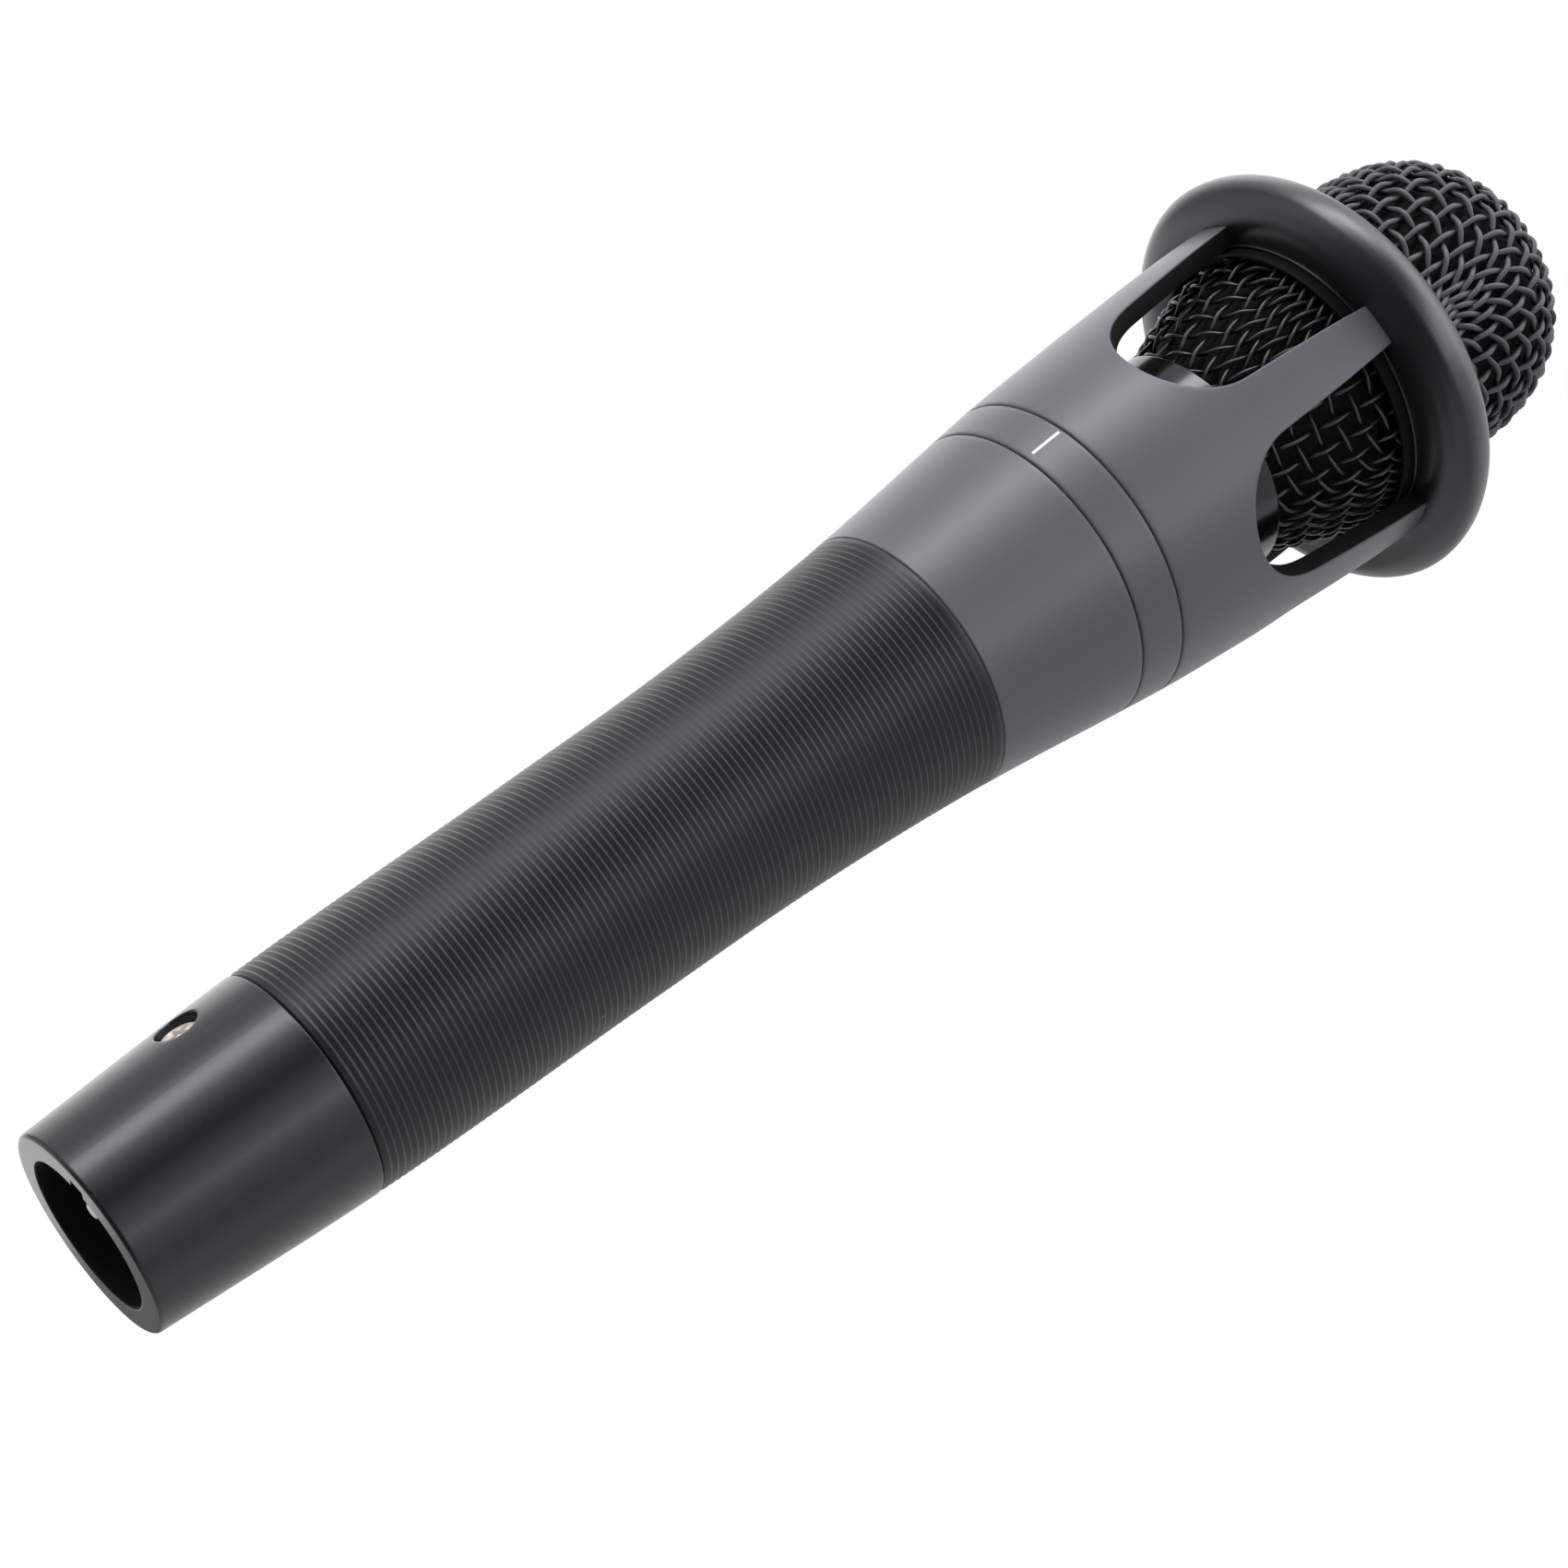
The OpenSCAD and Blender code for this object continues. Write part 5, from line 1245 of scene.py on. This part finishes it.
def wire_sheet(surface, s, azimuth, lift, radius):
    """A round wire along places on a surface, lifted off it, with closed ends."""
    point, normal = surface.frame(s, azimuth)
    line = point + lift[:, None] * normal
    ahead = np.gradient(line, axis=0)
    ahead /= np.linalg.norm(ahead, axis=1)[:, None]
    side = np.cross(ahead, normal)
    side /= np.linalg.norm(side, axis=1)[:, None]
    up = np.cross(side, ahead)
    a = np.arange(WIRE_SIDES) * 2 * math.pi / WIRE_SIDES
    ring = np.cos(a)[None, :, None] * up[:, None] + np.sin(a)[None, :, None] * side[:, None]
    tube = line[:, None] + radius * ring
    caps = [np.repeat(line[k : k + 1, None], WIRE_SIDES, axis=1) for k in (0, -1)]
    return round_sheet(np.concatenate((caps[0], tube, caps[1])))


print("a wire is a tube with", WIRE_SIDES, "sides")


# %% Wires through the nets
def wires(surface, net, low, high, radius, wave_height):
    """Every wire of both families, kept between two lengths along the curve."""
    s, azimuth, used = net
    across, up = s * np.cos(azimuth), s * np.sin(azimuth)
    sheets = []
    count = len(s)
    parity = (-1.0) ** np.add.outer(np.arange(count), np.arange(count))
    for family, sign in ((0, -1), (1, 1)):
        for row in range(count):
            pick = (slice(None), row) if family == 0 else (row, slice(None))
            inside = np.where(used[pick])[0]
            if len(inside) < 4:
                continue
            k = slice(inside[0], inside[-1] + 1)
            fine = smooth_through(np.column_stack((across[pick][k], up[pick][k])), WIRE_STEPS)
            wave = sign * parity[pick][k]
            step = np.arange(len(fine)) / WIRE_STEPS
            near = np.minimum(step.astype(int), len(wave) - 1)
            lift = wave_height * wave[near] * np.cos(math.pi * (step - near))
            fine_s, fine_a = np.hypot(*fine.T), np.arctan2(fine[:, 1], fine[:, 0])
            kept = (fine_s >= low) & (fine_s <= high)
            edges = np.flatnonzero(np.diff(np.concatenate(([0], kept.view(np.int8), [0]))))
            for start, end in zip(edges[::2], edges[1::2]):
                if end - start > WIRE_STEPS // 2:
                    part = slice(start, end)
                    sheets.append(wire_sheet(surface, fine_s[part], fine_a[part], lift[part], radius))
    return sheets


DOME_WIRE, BOWL_WIRE = (0.34, 0.4), (0.21, 0.31)
dome_wires = wires(dome_surface, dome_net, 0.0, dome_end, *DOME_WIRE)
bowl_wires = wires(bowl_surface, bowl_net, bowl_start, bowl_end, *BOWL_WIRE)
print("wires:", len(dome_wires), "in the dome,", len(bowl_wires), "in the bowl")

# %% [markdown]
# ### Painted shade on the cloth
# Where each wire dips behind the next one it lies in shade, and the finish paints that shade in.
# Vertex colours could carry it, but the shapes of dome and bowl are known as formulas. So the finish
# measures how far a point stands out from the middle of the cloth and turns matt and dark below it, as
# painted shade. That is what makes the weave read as short separate strokes.

# %% Painted shade below the crests
DOME_SHADE_EDGE, BOWL_SHADE_EDGE, WIRE_SHADE_LEVEL, WIRE_SHADE_ROUGH = (-0.2, 0.15), (-0.08, 0.2), 0.004, 0.8
dome_paint = paint("wire_black", 0.055, 0.07, 0.5, 0.2, 2.5)
above_base = (dome_paint.height_mm() - DOME_BASE).math("MAXIMUM", 0.0)
oval = (dome_paint.radius_mm() / weave_r) ** DOME_POWER + (above_base / weave_high) ** DOME_POWER
dome_out = weave_r * oval ** (1 / DOME_POWER) - weave_r
# Painted shade: the dome's wires turn matt near-black where they dip below the middle of the cloth.
dome_paint.mix_painted_shade(1 - dome_paint.step(dome_out, *DOME_SHADE_EDGE), WIRE_SHADE_LEVEL, WIRE_SHADE_ROUGH)
# The bowl's wires get a darker copy of the wire paint: painted shade for the cage and ring over them.
bowl_paint = paint("bowl_wire", 0.022, 0.03, 0.34, 0.2, 2.0, specular=0.7)
bowl_part = (bowl_paint.height_mm() - BOWL_START) * (BOWL_BEND / (BOWL_END - BOWL_START))
bowl_radius = BOWL_FOOT - WEAVE_HALF + (BOWL_TOP - BOWL_FOOT) / math.sin(BOWL_BEND) * bowl_part.math("SINE")
bowl_out = bowl_paint.radius_mm() - bowl_radius
# Painted shade: the bowl's wires darken the same way below the middle of the cloth.
bowl_paint.mix_painted_shade(1 - bowl_paint.step(bowl_out, *BOWL_SHADE_EDGE), WIRE_SHADE_LEVEL, WIRE_SHADE_ROUGH)
cloth = {"sharp": 80, "weld": 1e-7}
make_piece("dome_weave", dome_wires, "wire_black", "head", ["grille_dome"], **cloth)
shaded_bowl_finish = finishes["bowl_wire"]
make_piece("bowl_weave", bowl_wires, "wire_black", "head", ["grille_bowl"], finish=shaded_bowl_finish, **cloth)

# %% [markdown]
# ## Foam liners and felt
# Foam behind the wires stops breath and pops. It is soft, so it is drawn as a turned form whose skin is
# uneven, with a finish of open cells. A displace modifier could make the skin, but then its points would
# move outwards too; here they are only pushed in, so the foam stays behind the wires. The felt under the
# capsule's film is a thin soft ring.

# %% Uneven turned forms
WAVES = 60


def uneven(profile, amount, seed, sides=SIDES):
    """A turned form whose points are pushed in by smooth random waves."""
    sheet, closed_rows, closed_columns = turned(profile, sides)
    chance = np.random.default_rng(seed)
    push = np.zeros(sheet.shape[:2])
    for _ in range(WAVES):
        wave = chance.normal(0, 1.6, 3)
        push += np.cos(sheet @ wave + chance.uniform(0, 2 * math.pi)) / WAVES**0.5
    middle = sheet.mean(axis=(0, 1))
    inward = middle - sheet
    inward /= np.linalg.norm(inward, axis=-1, keepdims=True)
    return sheet + inward * (amount * (0.5 + 0.5 * np.tanh(push)))[..., None], closed_rows, closed_columns


print("an uneven skin is the sum of", WAVES, "waves")

# %% The liners and the felt
FOAM_SKIN, FOAM_T, FOAM_LOW, FOAM_BORE = 1.5, 2.5, 170.86, 10.0
foam_turn = np.linspace(0, math.pi / 2, 40)
dome_side = np.linspace(DOME_BASE - 1, FOAM_LOW, 9)


def dome_layer(inwards):
    """The dome's section at a depth, from its top down to the foam's foot."""
    top = dome_oval(DOME_R - inwards, DOME_HIGH - inwards, foam_turn)
    return [tuple(point) for point in top] + [(DOME_R - inwards, z) for z in dome_side]


dome_profile = dome_layer(FOAM_SKIN) + dome_layer(FOAM_SKIN + FOAM_T)[::-1]
dome_liner = make_piece(
    "dome_liner", [uneven(dome_profile, 0.25, 3)], "foam_black", "head", ["dome_foam"], sharp=70
)
bowl_inset, foam_top = WEAVE_HALF + 0.45, FLANGE_LOW - 0.4
bowl_layer = [(r - bowl_inset, z) for r, z in bowl_wall if r - bowl_inset > FOAM_BORE + 0.3 and z < foam_top]
bowl_profile = [(FOAM_BORE, bowl_layer[0][1])] + bowl_layer
bowl_profile += [(bowl_layer[-1][0], foam_top), (FOAM_BORE, foam_top)]
bowl_liner = make_piece(
    "bowl_liner", [uneven(bowl_profile, 0.2, 5)], "foam_black", "head", ["bowl_foam"], sharp=70
)
FELT_BORE, FELT_R, FELT_LOW, FELT_HIGH = 5.0, 7.38, 176.51, 177.11
felt_profile = [(FELT_BORE, FELT_LOW, 0.15), (FELT_R, FELT_LOW, 0.15)]
felt_profile = rounded(felt_profile + [(FELT_R, FELT_HIGH, 0.2), (FELT_BORE, FELT_HIGH, 0.2)])
felt_ring = make_piece("felt_ring", [turned(felt_profile)], "felt_white", "capsule", ["damping_felt"])

# %% [markdown]
# ## Dressing the solids that stay
# Pieces deep inside keep their solids: their shapes are plain turned and cut metal, so drawing them again
# would gain nothing, and only the finish was missing. Each takes the finish of its slot in the record.

# %% Finishes for the other solids
slots = {row["node"]: row["material_slot"] for row in frame["record"]["subparts"]}
for name, solid in frame["nodes"].items():
    solid.data.materials.clear()
    solid.data.materials.append(finishes[slots[name]])
print("solids dressed:", len(slots))

# %% [markdown]
# ## Size and finish
# The boxes of the solids and of the dressed part are printed in millimetres. The dressed
# part must not outgrow the solids.

# %% Print the sizes and end
dressed_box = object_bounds()
boxes = {"cad": cad_box, "visual": dressed_box}
boxes = {name: [list(map(float, corner)) for corner in box] for name, box in boxes.items()}
print("boxes in mm:", {name: np.round(np.array(box) * 1000, 2).tolist() for name, box in boxes.items()})
